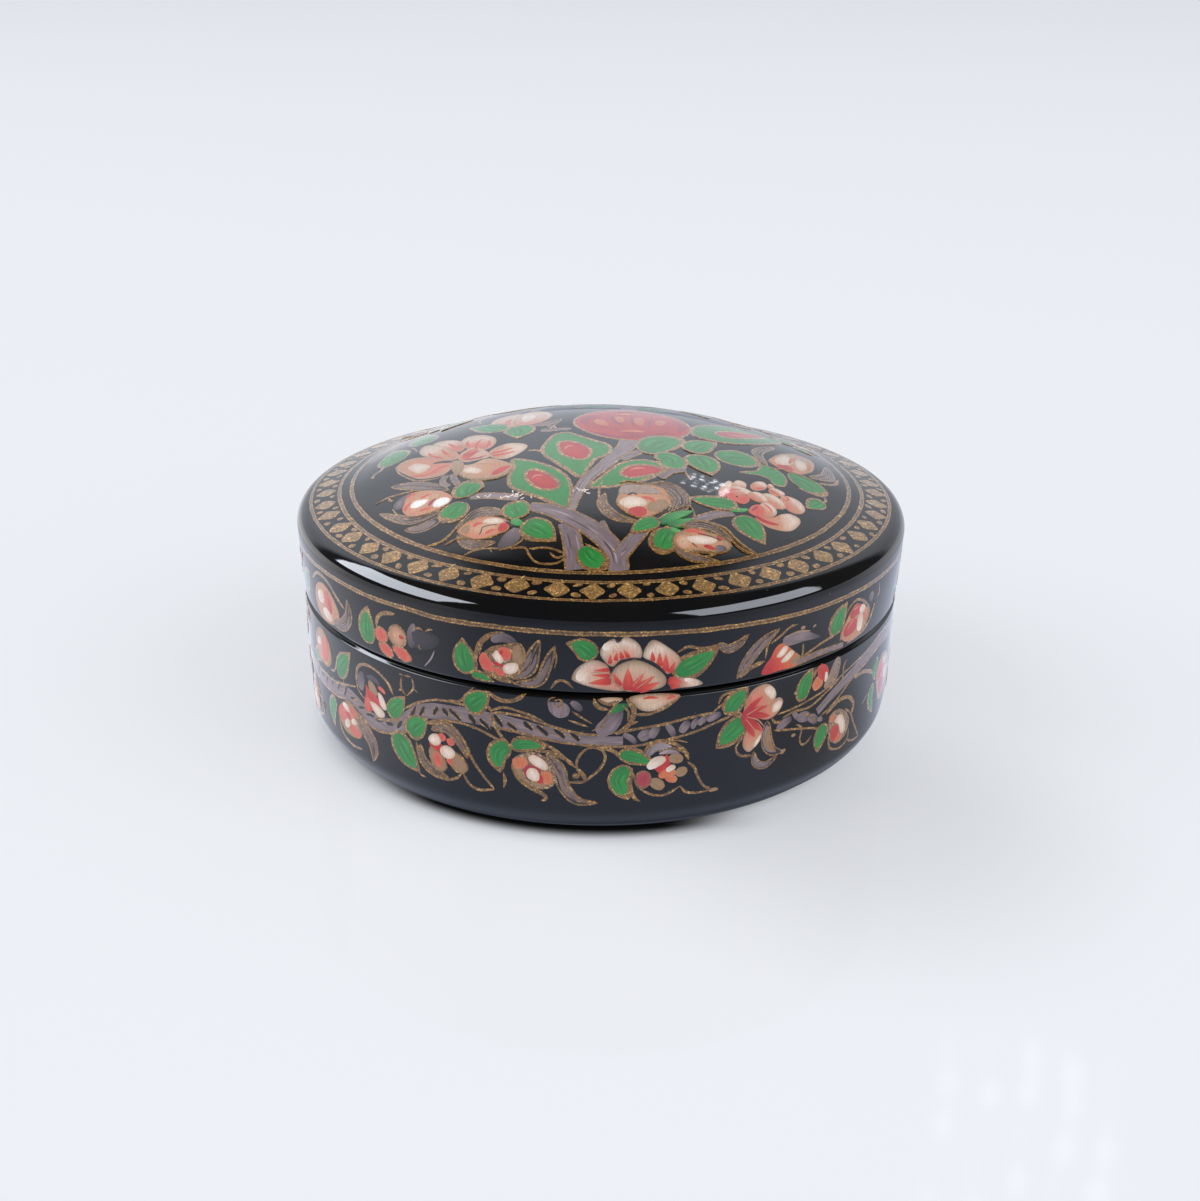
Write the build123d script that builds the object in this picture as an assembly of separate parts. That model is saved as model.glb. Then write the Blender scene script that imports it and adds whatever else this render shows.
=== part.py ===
"""Round lacquered papier mache box with a lift-off domed lid.

Three moulded pieces share one upright axis.  The base cup stands on its flat underside.
A thin collar is glued inside the cup's mouth and stands above it.  The lid drops over
the collar and comes to rest on the cup's rim, so both walls run on as one outline.

Frame: millimetres, +Z up, origin at the centre of the underside.
"""
from build123d import *
import os

# ---- base cup -----------------------------------------------------------------------
seam_height = 24.8          # the rim of the cup, where the lid rests
seam_radius = 49.35         # outside of both walls where they meet
wall_draft = 0.35           # how much narrower the cup is just above the foot round
foot_round_in = 8.2         # how far the foot round reaches in under the wall
foot_round_up = 6.2         # how far the foot round reaches up the wall
base_wall = 3.0             # moulded paper wall at the rim
base_floor = 3.2            # thickness of the flat bottom
base_inner_round = 4.5      # round between the inner wall and the floor
edge_round = 0.55           # softened outer edges on both sides of the seam

# ---- collar -------------------------------------------------------------------------
collar_wall = 1.5           # glued paper strip
collar_rise = 7.0           # how far the strip stands above the rim
collar_depth = 12.0         # how far the strip reaches down inside the cup
collar_edge_round = 0.45    # worn top edge of the strip
glue_line = 0.05            # paste between the strip and the cup

# ---- lid ----------------------------------------------------------------------------
lid_clearance = 0.35        # gap all round between the collar and the lid's bore
shoulder_flare = 0.8        # the shoulder's sharp corner lies this far outside the seam
shoulder_height = 13.25     # the same corner, above the seam
shoulder_round = 3.0        # round that the corner is worn to
brim_width = 8.85           # painted border, from the shoulder's corner in to the dome
brim_climb = 2.35           # the border's climb from the shoulder's corner to the dome
brim_blend = 25.0           # soft hollow between the border and the dome
dome_rise = 9.6             # top of the dome, above the brim line
lid_shell = 2.8             # moulded paper thickness under the dome and the border
lid_inner_round = 2.2       # round between the lid's bore and its ceiling
lid_lead_in = 0.5           # chamfer inside the lid's mouth

# ---- fits worked out from the values above ------------------------------------------
foot_radius = seam_radius - wall_draft
base_bore = seam_radius - base_wall
collar_radius = base_bore - glue_line
collar_bore = collar_radius - collar_wall
lid_bore = collar_radius + lid_clearance
shoulder_radius = seam_radius + shoulder_flare
brim_radius = shoulder_radius - brim_width
brim_z = seam_height + shoulder_height + brim_climb
dome_top = brim_z + dome_rise


def corner(sketch, r, z):
    """The half profile's vertex nearest to radius r and height z."""
    return min(sketch.vertices(), key=lambda v: (v.X - r) ** 2 + (v.Y - z) ** 2)


def turned(sketch):
    """The solid of revolution of a half profile about the upright axis."""
    return revolve(sketch, axis=Axis.Z, revolution_arc=360)


def base_cup():
    """The cup: near-upright wall, elliptical foot round, flat underside, round mouth edge."""
    foot_centre = (foot_radius - foot_round_in, foot_round_up)
    with BuildSketch(Plane.XZ) as outside:
        with BuildLine():
            foot = EllipticalCenterArc(foot_centre, foot_round_in, foot_round_up,
                                       start_angle=270, arc_size=90)
            Polyline(foot @ 1, (seam_radius, seam_height), (0, seam_height), (0, 0), foot @ 0)
        make_face()
        fillet(corner(outside, seam_radius, seam_height), edge_round)
    with BuildSketch(Plane.XZ) as inside:
        with BuildLine():
            Polyline((0, base_floor), (base_bore, base_floor), (base_bore, seam_height + 1),
                     (0, seam_height + 1), close=True)
        make_face()
        fillet(corner(inside, base_bore, base_floor), base_inner_round)
    return turned(outside.sketch) - turned(inside.sketch)


def collar():
    """The strip that locates the lid: a plain ring with its top edge rounded both ways."""
    bottom, top = seam_height - collar_depth, seam_height + collar_rise
    with BuildSketch(Plane.XZ) as strip:
        with BuildLine():
            Polyline((collar_bore, bottom), (collar_radius, bottom), (collar_radius, top),
                     (collar_bore, top), close=True)
        make_face()
        fillet([corner(strip, r, top) for r in (collar_bore, collar_radius)], collar_edge_round)
    return turned(strip.sketch)


def lid_profile(inset, bore, shoulder, blend):
    """Half profile under the lid's top, inset from the outside by a shell thickness.

    A cap arc level at the axis runs out to the brim line, the border slopes on from
    there to the shoulder's corner, and the skirt drops to the seam.
    """
    slope = brim_climb / brim_width
    edge_r = bore if inset else shoulder_radius
    edge_z = brim_z - slope * (edge_r - brim_radius) - inset
    foot_r, foot_z = (bore, seam_height - 1) if inset else (seam_radius, seam_height)
    with BuildSketch(Plane.XZ) as profile:
        with BuildLine():
            cap = TangentArc((0, dome_top - inset), (brim_radius, brim_z - inset), tangent=(1, 0))
            Polyline(cap @ 1, (edge_r, edge_z), (foot_r, foot_z), (0, foot_z), cap @ 0)
        make_face()
        fillet(corner(profile, brim_radius, brim_z - inset), blend)
        fillet(corner(profile, edge_r, edge_z), shoulder)
        if not inset:
            fillet(corner(profile, foot_r, foot_z), edge_round)
    return profile.sketch


def lid():
    """The domed shell: outside profile less the inside one, with a lead-in at the mouth."""
    outside = turned(lid_profile(0, seam_radius, shoulder_round, brim_blend))
    inside = turned(lid_profile(lid_shell, lid_bore, lid_inner_round, brim_blend))
    mouth = Pos(0, 0, seam_height) * Cone(lid_bore + lid_lead_in, lid_bore, lid_lead_in,
                                          align=(Align.CENTER, Align.CENTER, Align.MIN))
    return outside - inside - mouth


os.makedirs("parts", exist_ok=True)
for node, make in (("base_cup", base_cup), ("collar", collar), ("lid", lid)):
    shape = make()
    export_step(shape, f"parts/{node}.step")
    print(node, "volume", round(shape.volume / 1000, 2), "cm3", shape.bounding_box())
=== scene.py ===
"""Looks of the round lacquered papier mache box: smooth shells and hand-painted, gilded flowers.

Lengths are in millimetres, turned into metres where a mesh is made. The painting is laid out flat on three
sheets: the lid's top from above, the lid's skirt and the cup's wall unrolled. Each brush mark is a thin
closed film of paint carried on to the lacquer, over what was painted before; places() reads its points.
"""

import math

import bpy
import numpy as np
from numpy.linalg import norm
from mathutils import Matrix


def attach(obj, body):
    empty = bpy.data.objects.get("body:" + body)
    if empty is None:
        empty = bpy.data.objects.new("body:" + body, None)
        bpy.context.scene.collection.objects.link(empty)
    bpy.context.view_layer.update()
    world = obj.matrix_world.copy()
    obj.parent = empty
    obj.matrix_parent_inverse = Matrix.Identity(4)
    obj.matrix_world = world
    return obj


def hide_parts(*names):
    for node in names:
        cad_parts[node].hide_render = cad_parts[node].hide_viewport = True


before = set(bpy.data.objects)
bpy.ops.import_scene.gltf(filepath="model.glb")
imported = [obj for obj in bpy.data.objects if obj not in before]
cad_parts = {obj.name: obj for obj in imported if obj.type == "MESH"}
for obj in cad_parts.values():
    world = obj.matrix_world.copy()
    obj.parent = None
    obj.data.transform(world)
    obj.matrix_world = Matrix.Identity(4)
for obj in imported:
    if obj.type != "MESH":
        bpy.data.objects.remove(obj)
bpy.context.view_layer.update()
scene = bpy.context.scene
MM = 0.001
TAU = 2 * math.pi


# ---- colours
def linear(code):
    """sRGB hex to linear red, green, blue: c/12.92 below 0.04045, else ((c+0.055)/1.055)**2.4."""
    c = np.array([int(code[k:k + 2], 16) for k in (1, 3, 5)]) / 255
    return np.where(c <= 0.04045, c / 12.92, ((c + 0.055) / 1.055) ** 2.4)


def blend(a, b, t):
    """Straight mix of two colours, a at t=0 and b at t=1."""
    a, b, t = np.asarray(a), np.asarray(b), np.asarray(t)
    return a + (b - a) * (t[..., None] if t.ndim else t)


BLACK = linear("#09090A")
MAUVE, MAUVE_DARK, MAUVE_PALE = linear("#7E6D70"), linear("#43393E"), linear("#A4969A")
GREEN, GREEN_DARK, GREEN_PALE = linear("#2A8338"), linear("#185A26"), linear("#4FA055")
CORAL, RED, ROSE = linear("#CC4834"), linear("#AE2426"), linear("#9C2C40")
PEACH, CREAM, WHITE, BEIGE = linear("#C78C69"), linear("#D2B49C"), linear("#F0E0D6"), linear("#9A7D62")
ORANGE, BLUSH, UMBER = linear("#C7673B"), linear("#D07C69"), linear("#241917")
GILT, GILT_PALE, GILT_DARK = linear("#94692F"), linear("#CFA657"), linear("#5E4020")


# ---- outlines of the turned shells
def rounded(corners, chord=0.3):
    """(r, z) polyline whose corners of radius f become arcs tangent to both sides: the arc's centre lies
    f / sin(half angle) along the corner's bisector."""
    out = []
    for k, (r, z, f) in enumerate(corners):
        here = np.array([r, z], float)
        if not f:
            out.append(here[None])
            continue
        a, b = (np.array(corners[k + s][:2], float) - here for s in (-1, 1))
        a, b = a / norm(a), b / norm(b)
        half = math.acos(a @ b) / 2
        middle = (a + b) / norm(a + b)
        centre = here + middle * f / math.sin(half)
        start, end = (here + side * f / math.tan(half) - centre for side in (a, b))
        turn = math.pi - 2 * half
        t = np.linspace(0, 1, max(4, math.ceil(turn * f / chord) + 1))[:, None]
        out.append(centre + (np.sin((1 - t) * turn) * start + np.sin(t * turn) * end) / math.sin(turn))
    return np.vstack(out)


def even(line, step):
    """The same polyline with its long runs divided, so that no run is longer than step."""
    out = [line[:1]]
    for a, b in zip(line[:-1], line[1:]):
        n = max(1, math.ceil(norm(b - a) / step))
        out.append(a + (b - a) * (np.arange(1, n + 1) / n)[:, None])
    return np.vstack(out)


LID_EDGE, CUP_EDGE, SEAM_R, DOME_TOP, DOME_R = 24.86, 24.68, 49.35, 50.0, 93.64
BRIM = [(41.3, 40.4), (50.15, 38.05)]


def cap(reach, top, radius, steps):
    """Corners along the dome's arc: z = top - radius + sqrt(radius^2 - r^2), from the axis out to reach."""
    r = np.linspace(0, reach, steps)
    return [(a, top - radius + math.sqrt(radius ** 2 - a ** 2), 0) for a in r]


lid_outside = even(rounded([*cap(38.8, DOME_TOP, DOME_R, 60), (*BRIM[0], 25), (*BRIM[1], 3.0),
    (SEAM_R, LID_EDGE, 0.6), (48.4, LID_EDGE, 0)]), 0.8)
lid_inside = even(rounded([(48.4, LID_EDGE, 0), (47.15, LID_EDGE, 0), (46.65, 25.3, 0), (46.65, 36.18, 2.2),
    (41.3, 37.6, 25), *cap(38.8, 47.2, DOME_R, 14)[::-1]]), 2.0)
foot = [(40.8 + 8.2 * math.cos(a), 6.2 - 6.2 * math.sin(a), 0) for a in np.linspace(0, math.pi / 2, 30)]
base_outside = even(rounded([(48.4, CUP_EDGE, 0), (48.6, CUP_EDGE, 0.1), (SEAM_R, 24.1, 0.28), *foot,
    (0, 0, 0)], 0.1), 0.8)
base_inside = even(rounded([(0, 3.2, 0), (46.35, 3.2, 4.5), (46.35, CUP_EDGE, 0), (48.4, CUP_EDGE, 0)]), 2.0)
collar_ring = rounded([(44.8, 20, 0), (44.8, 31.8, 0.45), (46.3, 31.8, 0.45), (46.3, 12.8, 0.2),
    (44.8, 12.8, 0.2), (44.8, 20, 0)], 0.12)


def smoothstep(t):
    """0 below 0, 1 above 1, 3t^2 - 2t^3 between."""
    t = np.clip(t, 0, 1)
    return t * t * (3 - 2 * t)


def hand(r, z, angle):
    """How far, in mm, the rubbed-down wall lies inside the true turned shape: 0.09, four slow sines and two
    quick ones, fading at the axis and the underside, and up to 0.62 more at the foot, on the right."""
    slow = (0.030 * np.sin(2 * angle + 0.7 + z * 0.05) + 0.022 * np.sin(3 * angle - 1.9 + z * 0.09)
            + 0.014 * np.sin(7 * angle + 0.31 * z + r * 0.2) + 0.009 * np.sin(11 * angle - 0.45 * z + 2.2))
    quick = 0.0045 * np.sin(23 * angle + 0.9 * z + 0.3 * r) + 0.003 * np.sin(37 * angle - 1.3 * z + 1.0)
    right = 1 + np.tanh(2.2 * np.sin(angle))
    worn = 0.31 * right * smoothstep(z / 1.5) * smoothstep((9 - z) / 6) * (r > 30)
    return (0.09 + (slow + quick) * smoothstep(r / 12)) * smoothstep(z / 2.5) + worn


def shine(r, z, nr, nz, angle):
    """The varnish's own normal: pooled between dome and brim, over the brim's front 120 degrees, it leans
    outwards by up to 11 degrees more than the shell under it."""
    lean = (math.radians(11) * smoothstep((r - 39.2) / 2.2) * smoothstep((49.3 - r) / 1.8) * (z > 36.5)
            * smoothstep((np.cos(angle) - 0.17) / 0.33))
    return nr * np.cos(lean) + nz * np.sin(lean), nz * np.cos(lean) - nr * np.sin(lean)


class Skin:
    """An outside outline with its normals, so that a point can be put on it by r or by z."""

    def __init__(self, line, key):
        d = np.gradient(line, axis=0)
        n = np.stack([-d[:, 1], d[:, 0]], 1) / norm(d, axis=1, keepdims=True)
        order = np.argsort(line[:, key], kind="stable")
        self.key = line[order, key]
        self.table = np.hstack([line, n])[order]

    def at(self, value, angle, lift):
        """The outline's point (r + nr*d, z + nz*d) at the key's value, turned by angle from the front, with
        d = lift - hand's depth, in metres, and the outward normal."""
        r, z, nr, nz = (np.interp(value, self.key, self.table[:, c]) for c in range(4))
        d = lift - hand(r, z, angle)
        s, c, (lean, up) = np.sin(angle), np.cos(angle), shine(r, z, nr, nz, angle)
        spot = np.stack([(r + nr * d) * s, -(r + nr * d) * c, z + nz * d], -1) * MM
        return spot, np.stack([lean * s, -lean * c, up], -1)


# ---- meshes
def mesh_object(name, points, quads, tris, body, material, tint=None, brush=None, normals=None):
    """A smooth-shaded mesh of points (metres), quads and triangles, riding on a body. tint is a colour per
    point, brush a place per point, normals the varnish's own."""
    loops = np.concatenate([np.asarray(quads, np.int64).ravel(), np.asarray(tris, np.int64).ravel()])
    sizes = np.concatenate([np.full(len(quads), 4), np.full(len(tris), 3)])
    data = bpy.data.meshes.new(name)
    data.vertices.add(len(points))
    data.vertices.foreach_set("co", np.asarray(points, np.float32).ravel())
    data.loops.add(len(loops))
    data.loops.foreach_set("vertex_index", loops.astype(np.int32))
    data.polygons.add(len(sizes))
    data.polygons.foreach_set("loop_start", (np.cumsum(sizes) - sizes).astype(np.int32))
    data.polygons.foreach_set("loop_total", sizes.astype(np.int32))
    if tint is not None:
        layer = data.color_attributes.new("pigment", "FLOAT_COLOR", "POINT")
        layer.data.foreach_set("color", np.hstack([tint, np.ones((len(tint), 1))]).astype(np.float32).ravel())
    if brush is not None:
        data.uv_layers.new(name="brush").data.foreach_set("uv", brush[loops].astype(np.float32).ravel())
    data.update(calc_edges=True)
    data.polygons.foreach_set("use_smooth", np.ones(len(sizes), bool))
    data.validate()
    if normals is not None:
        data.normals_split_custom_set_from_vertices(normals.astype(np.float32))
    data.materials.append(material)
    piece = bpy.data.objects.new(name, data)
    scene.collection.objects.link(piece)
    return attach(piece, body)


def turned(name, line, depth, body, outside, inside, segments=512):
    """The outline turned about the upright axis: P(t, a) = (r sin a, -r cos a, z) with r, z from line(t),
    less hand's depth where depth is 1; where it is 0 the surface has the inside's material. Ends on the axis
    are single points; an outline that comes back to its start is joined up."""
    angle = np.arange(segments) / segments * TAU
    closed = np.allclose(line[0], line[-1])
    if closed:
        line, depth = line[:-1], depth[:-1]
    n = np.gradient(line, axis=0)
    n = np.stack([-n[:, 1], n[:, 0]], 1) / norm(n, axis=1, keepdims=True)
    rows, leans = [], []
    for (r, z), (nr, nz), use in zip(line, n, depth):
        d = -use * hand(r, z, angle) if use else 0 * angle
        rows.append(np.stack([(r + nr * d) * np.sin(angle), -(r + nr * d) * np.cos(angle), z + nz * d], 1))
        nr, nz = shine(r, z, nr, nz, angle) if use else (nr, nz)
        leans.append(np.stack([nr * np.sin(angle), -nr * np.cos(angle), nz + 0 * angle], 1))
    pole_a, pole_b = (not closed and line[k, 0] < 1e-6 for k in (0, -1))
    body_rows = rows[int(pole_a):len(rows) - int(pole_b)]
    points, normals = np.vstack(body_rows), np.vstack(leans[int(pole_a):len(rows) - int(pole_b)])
    grid = np.arange(len(points)).reshape(len(body_rows), segments)
    lower, upper = (grid, np.roll(grid, -1, 0)) if closed else (grid[:-1], grid[1:])
    quads = np.stack([lower, upper, np.roll(upper, -1, 1), np.roll(lower, -1, 1)], -1).reshape(-1, 4)
    tris = []
    for pole, row, lean, ring in ((pole_a, rows[0], leans[0], grid[0]),
            (pole_b, rows[-1], leans[-1], grid[-1][::-1])):
        if pole:
            points, normals = np.vstack([points, row.mean(0)]), np.vstack([normals, lean.mean(0)])
            tris.append(np.stack([np.full(segments, len(points) - 1), ring, np.roll(ring, -1)], -1))
    tris = np.vstack(tris) if tris else np.zeros((0, 3), int)
    piece = mesh_object(name, points * MM, quads, tris, body, outside, normals=normals)
    piece.data.materials.append(inside)
    turn = depth[int(pole_a):len(rows) - int(pole_b)]
    inner = (turn + np.roll(turn, -1) == 0) if closed else (turn[:-1] + turn[1:] == 0)
    ends = [depth[k] == 0 for k, pole in ((0, pole_a), (-1, pole_b)) if pole]
    index = np.concatenate([np.repeat(inner, segments), np.repeat(np.array(ends, bool), segments)])
    piece.data.polygons.foreach_set("material_index", index.astype(np.int32))
    return piece


# ---- materials
def node(tree, kind, inputs=(), **settings):
    """Adds one node. settings are its own properties; inputs is a list of (socket, value or other socket)."""
    made = tree.nodes.new("ShaderNode" + kind)
    for key, value in settings.items():
        setattr(made, key, value)
    for socket, value in inputs:
        if isinstance(value, bpy.types.NodeSocket):
            tree.links.new(value, made.inputs[socket])
        else:
            made.inputs[socket].default_value = value
    return made


def ramp(tree, factor, stops):
    """A colour ramp of (place, grey or colour) stops."""
    made = node(tree, "ValToRGB", [("Fac", factor)])
    spots = made.color_ramp.elements
    while len(spots) < len(stops):
        spots.new(0.5)
    for spot, (place, value) in zip(spots, stops):
        spot.position = place
        spot.color = (*(value if np.ndim(value) else (value,) * 3), 1)
    return made.outputs["Color"]


def new_material(name):
    """A new material, its node tree and its Principled shader."""
    made = bpy.data.materials.new(name)
    made.use_nodes = True
    tree = made.node_tree
    return made, tree, tree.nodes["Principled BSDF"]


def settings(shader, **values):
    """Sets or links a shader's own sockets; an underscore stands for a space."""
    for key, value in values.items():
        socket = shader.inputs[key.replace("_", " ")]
        if isinstance(value, bpy.types.NodeSocket):
            shader.id_data.links.new(value, socket)
        else:
            socket.default_value = value


def noise_mm(tree, across, detail=2.0):
    """Noise whose blobs are about `across` mm wide, on Object coordinates."""
    source = node(tree, "TexCoord").outputs["Object"]
    return node(tree, "TexNoise", [("Vector", source), ("Scale", 1 / (across * MM)),
        ("Detail", detail), ("Roughness", 0.5)]).outputs["Fac"]


def bump(tree, height, depth, under=None):
    """The normal of a surface whose height swings by depth mm, on top of another's normal if there is one."""
    made = node(tree, "Bump", [("Height", height), ("Strength", 1.0), ("Distance", depth * MM)])
    if under:
        tree.links.new(under, made.inputs["Normal"])
    return made.outputs["Normal"]


def product(tree, a, b):
    """Colour a times colour b."""
    return node(tree, "Mix", [("Factor", 1.0), ("A", a), ("B", b)], data_type="RGBA",
        blend_type="MULTIPLY").outputs["Result"]


def varnish_bump(tree):
    """The hand-brushed varnish's surface: slow swells 3.5 mm apart and finer orange peel 0.7 mm apart."""
    swell = noise_mm(tree, 3.5, 1.5)
    peel = noise_mm(tree, 0.7, 2.0)
    return bump(tree, peel, 0.018 * 0.1, bump(tree, swell, 0.018))


def make_lacquer():
    """Black lacquer over papier mache: lamp black under rubbed oil varnish (IOR about 1.5), a deep black that
    mirrors the room slightly wavily, with a few dust nibs and faint brown where the varnish is thick."""
    made, tree, shader = new_material("black_lacquer")
    settings(shader, IOR=1.5, Roughness=0.045, Coat_Weight=0.0)
    thick = noise_mm(tree, 9.0, 3.0)
    ground = ramp(tree, thick, [(0.35, BLACK * 0.8), (0.7, linear("#100D0C"))])
    spots = node(tree, "TexVoronoi", [("Vector",
        node(tree, "TexCoord").outputs["Object"]), ("Scale", 1 / (2.6 * MM)), ("Randomness", 1.0)])
    nib = ramp(tree, spots.outputs["Distance"], [(0.0, 1.0), (0.022, 1.0), (0.034, 0.0)])
    some = ramp(tree, noise_mm(tree, 11.0, 2.0), [(0.50, 0.0), (0.56, 0.55)])
    mask = node(tree, "Math", [(0, nib), (1, some)], operation="MULTIPLY").outputs[0]
    mixed = node(tree, "Mix", [("Factor", mask), ("A", ground), ("B", (*linear("#8E8A88"), 1))],
        data_type="RGBA")
    settings(shader, Base_Color=mixed.outputs["Result"], Normal=varnish_bump(tree))
    return made


def make_inner_lacquer():
    """The same black brushed thinly inside: less even, half matt, with brush drag about 1.2 mm apart."""
    made, tree, shader = new_material("brushed_black_inside")
    settings(shader, IOR=1.5, Roughness=0.28)
    drag = noise_mm(tree, 1.2, 3.0)
    black = ramp(tree, noise_mm(tree, 6.0, 4.0), [(0.3, linear("#0C0B0C")), (0.75, linear("#1B1715"))])
    settings(shader, Base_Color=black, Normal=bump(tree, drag, 0.03))
    return made


def make_gouache(name, across, along, low, high):
    """Opaque gouache: matt body colour from the pigment attribute under clear varnish (coat IOR 1.5),
    darkened to low and lightened to high in streaks `across` x `along` mm that run with the brush, read from
    the brush map (millimetres across and along each mark)."""
    made, tree, shader = new_material(name)
    settings(shader, Roughness=0.62, IOR=1.45, Coat_Weight=1.0, Coat_Roughness=0.06, Coat_IOR=1.5,
        Specular_IOR_Level=0.15)
    place = node(tree, "UVMap", uv_map="brush").outputs["UV"]
    spread = node(tree, "Mapping", [("Vector", place), ("Scale", (1 / across, 1 / along, 1))])
    streak = node(tree, "TexNoise", [("Vector", spread.outputs["Vector"]), ("Scale", 1.0),
        ("Detail", 3.0), ("Roughness", 0.6)]).outputs["Fac"]
    level = ramp(tree, streak, [(0.30, low), (0.70, high)])
    pigment = node(tree, "VertexColor", layer_name="pigment").outputs["Color"]
    settings(shader, Base_Color=product(tree, pigment, level), Normal=bump(tree, streak, 0.006),
        Coat_Normal=varnish_bump(tree))
    return made


def make_shell_gold():
    """Shell gold: metal powder in gum, drawn with a fine brush and varnished over. Flakes about 0.22 mm wide
    glint, and the line thins to brown where the brush ran dry."""
    made, tree, shader = new_material("shell_gold")
    settings(shader, Metallic=0.35, Roughness=0.42, Coat_Weight=1.0, Coat_Roughness=0.06, Coat_IOR=1.5)
    place = node(tree, "TexCoord").outputs["Object"]
    flakes = node(tree, "TexVoronoi", [("Vector", place), ("Scale", 1 / (0.22 * MM)), ("Randomness", 1.0)])
    grey = node(tree, "SeparateColor", [("Color", flakes.outputs["Color"])]).outputs["Red"]
    glint = ramp(tree, grey, [(0.0, 0.42), (0.5, 0.8), (0.80, 1.15), (0.90, (1.7, 1.9, 2.5)),
        (1.0, (2.4, 3.0, 4.5))])
    worn = ramp(tree, noise_mm(tree, 1.1, 3.0), [(0.30, 0.72), (0.62, 1.08)])
    level = product(tree, glint, worn)
    pigment = node(tree, "VertexColor", layer_name="pigment").outputs["Color"]
    settings(shader, Base_Color=product(tree, pigment, level), Normal=bump(tree, grey, 0.02),
        Coat_Normal=varnish_bump(tree))
    return made


lacquer, inner_lacquer = make_lacquer(), make_inner_lacquer()
gouache = make_gouache("varnished_gouache", 0.20, 1.8, 0.76, 1.12)
bark = make_gouache("dragged_mauve_gouache", 0.30, 3.2, 0.62, 1.22)
shell_gold = make_shell_gold()
FINISH = {"leaves": gouache, "petals": gouache, "stems": bark, "gilding": shell_gold}


# ---- brushwork
def places(points):
    """Points written as text, "x,y x,y" in millimetres. Any other points come back as they are."""
    if isinstance(points, str):
        return np.array([[float(n) for n in point.split(",")] for point in points.split()])
    return points


def curve(points, count, closed=False, spread="even"):
    """Centripetal cubic through the points: on each span the Hermite blend of its ends and their tangents,
    read off at `count` places, evenly by length or crowded towards both ends."""
    p = np.asarray(places(points), float)
    if len(p) == 2 and not closed:
        p = np.vstack([p[0], p.mean(0), p[1]])
    p = np.vstack([p[-1], p, p[:2]]) if closed else np.vstack([2 * p[0] - p[1], p, 2 * p[-1] - p[-2]])
    gap = np.sqrt(norm(np.diff(p, axis=0), axis=1)) + 1e-9
    t = np.concatenate([[0], np.cumsum(gap)])
    rate = np.diff(p, axis=0) / gap[:, None]
    m = (rate[:-1] * gap[1:, None] + rate[1:] * gap[:-1, None]) / (gap[:-1] + gap[1:])[:, None]
    u = np.linspace(t[1], t[-2], 24 * (len(p) - 3) + 1)
    k = np.clip(np.searchsorted(t, u, "right") - 1, 1, len(p) - 3)
    h, w = gap[k], (u - t[k]) / gap[k]
    w, h = w[:, None], h[:, None]
    line = ((2 * w**3 - 3 * w**2 + 1) * p[k] + (w**3 - 2 * w**2 + w) * h * m[k - 1]
            + (3 * w**2 - 2 * w**3) * p[k + 1] + (w**3 - w**2) * h * m[k])
    run = np.concatenate([[0], np.cumsum(norm(np.diff(line, axis=0), axis=1))])
    v = np.linspace(0, 1, count, endpoint=not closed)
    if spread == "ends":
        v = (1 - np.cos(math.pi * v)) / 2
    return np.stack([np.interp(v * run[-1], run, line[:, c]) for c in (0, 1)], 1), v, run[-1]


def seeded(points):
    """A generator of random numbers that depends only on where the mark is."""
    return np.random.default_rng(int(abs(np.asarray(points, float) @ [131.7, 71.3]).sum() * 10) % 2**31)


def across(line, closed=False):
    """Unit vectors to the left of the line's direction at each of its points."""
    run = np.vstack([line[-1:], line, line[:1]]) if closed else line
    d = np.gradient(run, axis=0)
    d = d[1:-1] if closed else d
    return np.stack([-d[:, 1], d[:, 0]], 1) / (norm(d, axis=1, keepdims=True) + 1e-9)


def lens(v, width, form):
    """Half width at v of a mark that is widest, width, at p = a/(a+b): width/2 (v/p)^a ((1-v)/(1-p))^b."""
    a, b = form
    p = a / (a + b)
    return width / 2 * (np.clip(v, 1e-6, 1) / p) ** a * (np.clip(1 - v, 1e-6, 1) / (1 - p)) ** b


def shake(rng, count, knots, closed=False):
    """A smooth random run of `count` values, about -1 to 1, with `knots` swings."""
    knots = max(3, int(knots))
    value = rng.uniform(-1, 1, knots)
    if closed:
        value[-1] = value[0]
    t = np.linspace(0, knots - 1, count)
    k = np.minimum(t.astype(int), knots - 2)
    return value[k] + (value[k + 1] - value[k]) * smoothstep(t - k)


def shades(colours, t):
    """The colours, spread evenly from 0 to 1, mixed straight at t."""
    colours = np.atleast_2d(colours)
    stops = np.linspace(0, 1, max(2, len(colours)))[:len(colours)]
    return np.stack([np.interp(t, stops, colours[:, c]) for c in range(3)], -1)


def tube(rows, n):
    """Quads joining rows of n points that come round, and triangles that close the first and the last row
    with one more point each."""
    number = np.arange(rows * n).reshape(rows, n)
    turn = np.roll(number, -1, 1)
    quads = np.stack([number[:-1], number[1:], turn[1:], turn[:-1]], -1).reshape(-1, 4)
    return quads, np.vstack([np.stack([np.full(n, rows * n), number[0], turn[0]], 1),
        np.stack([np.full(n, rows * n + 1), turn[-1], number[-1]], 1)])


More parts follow.
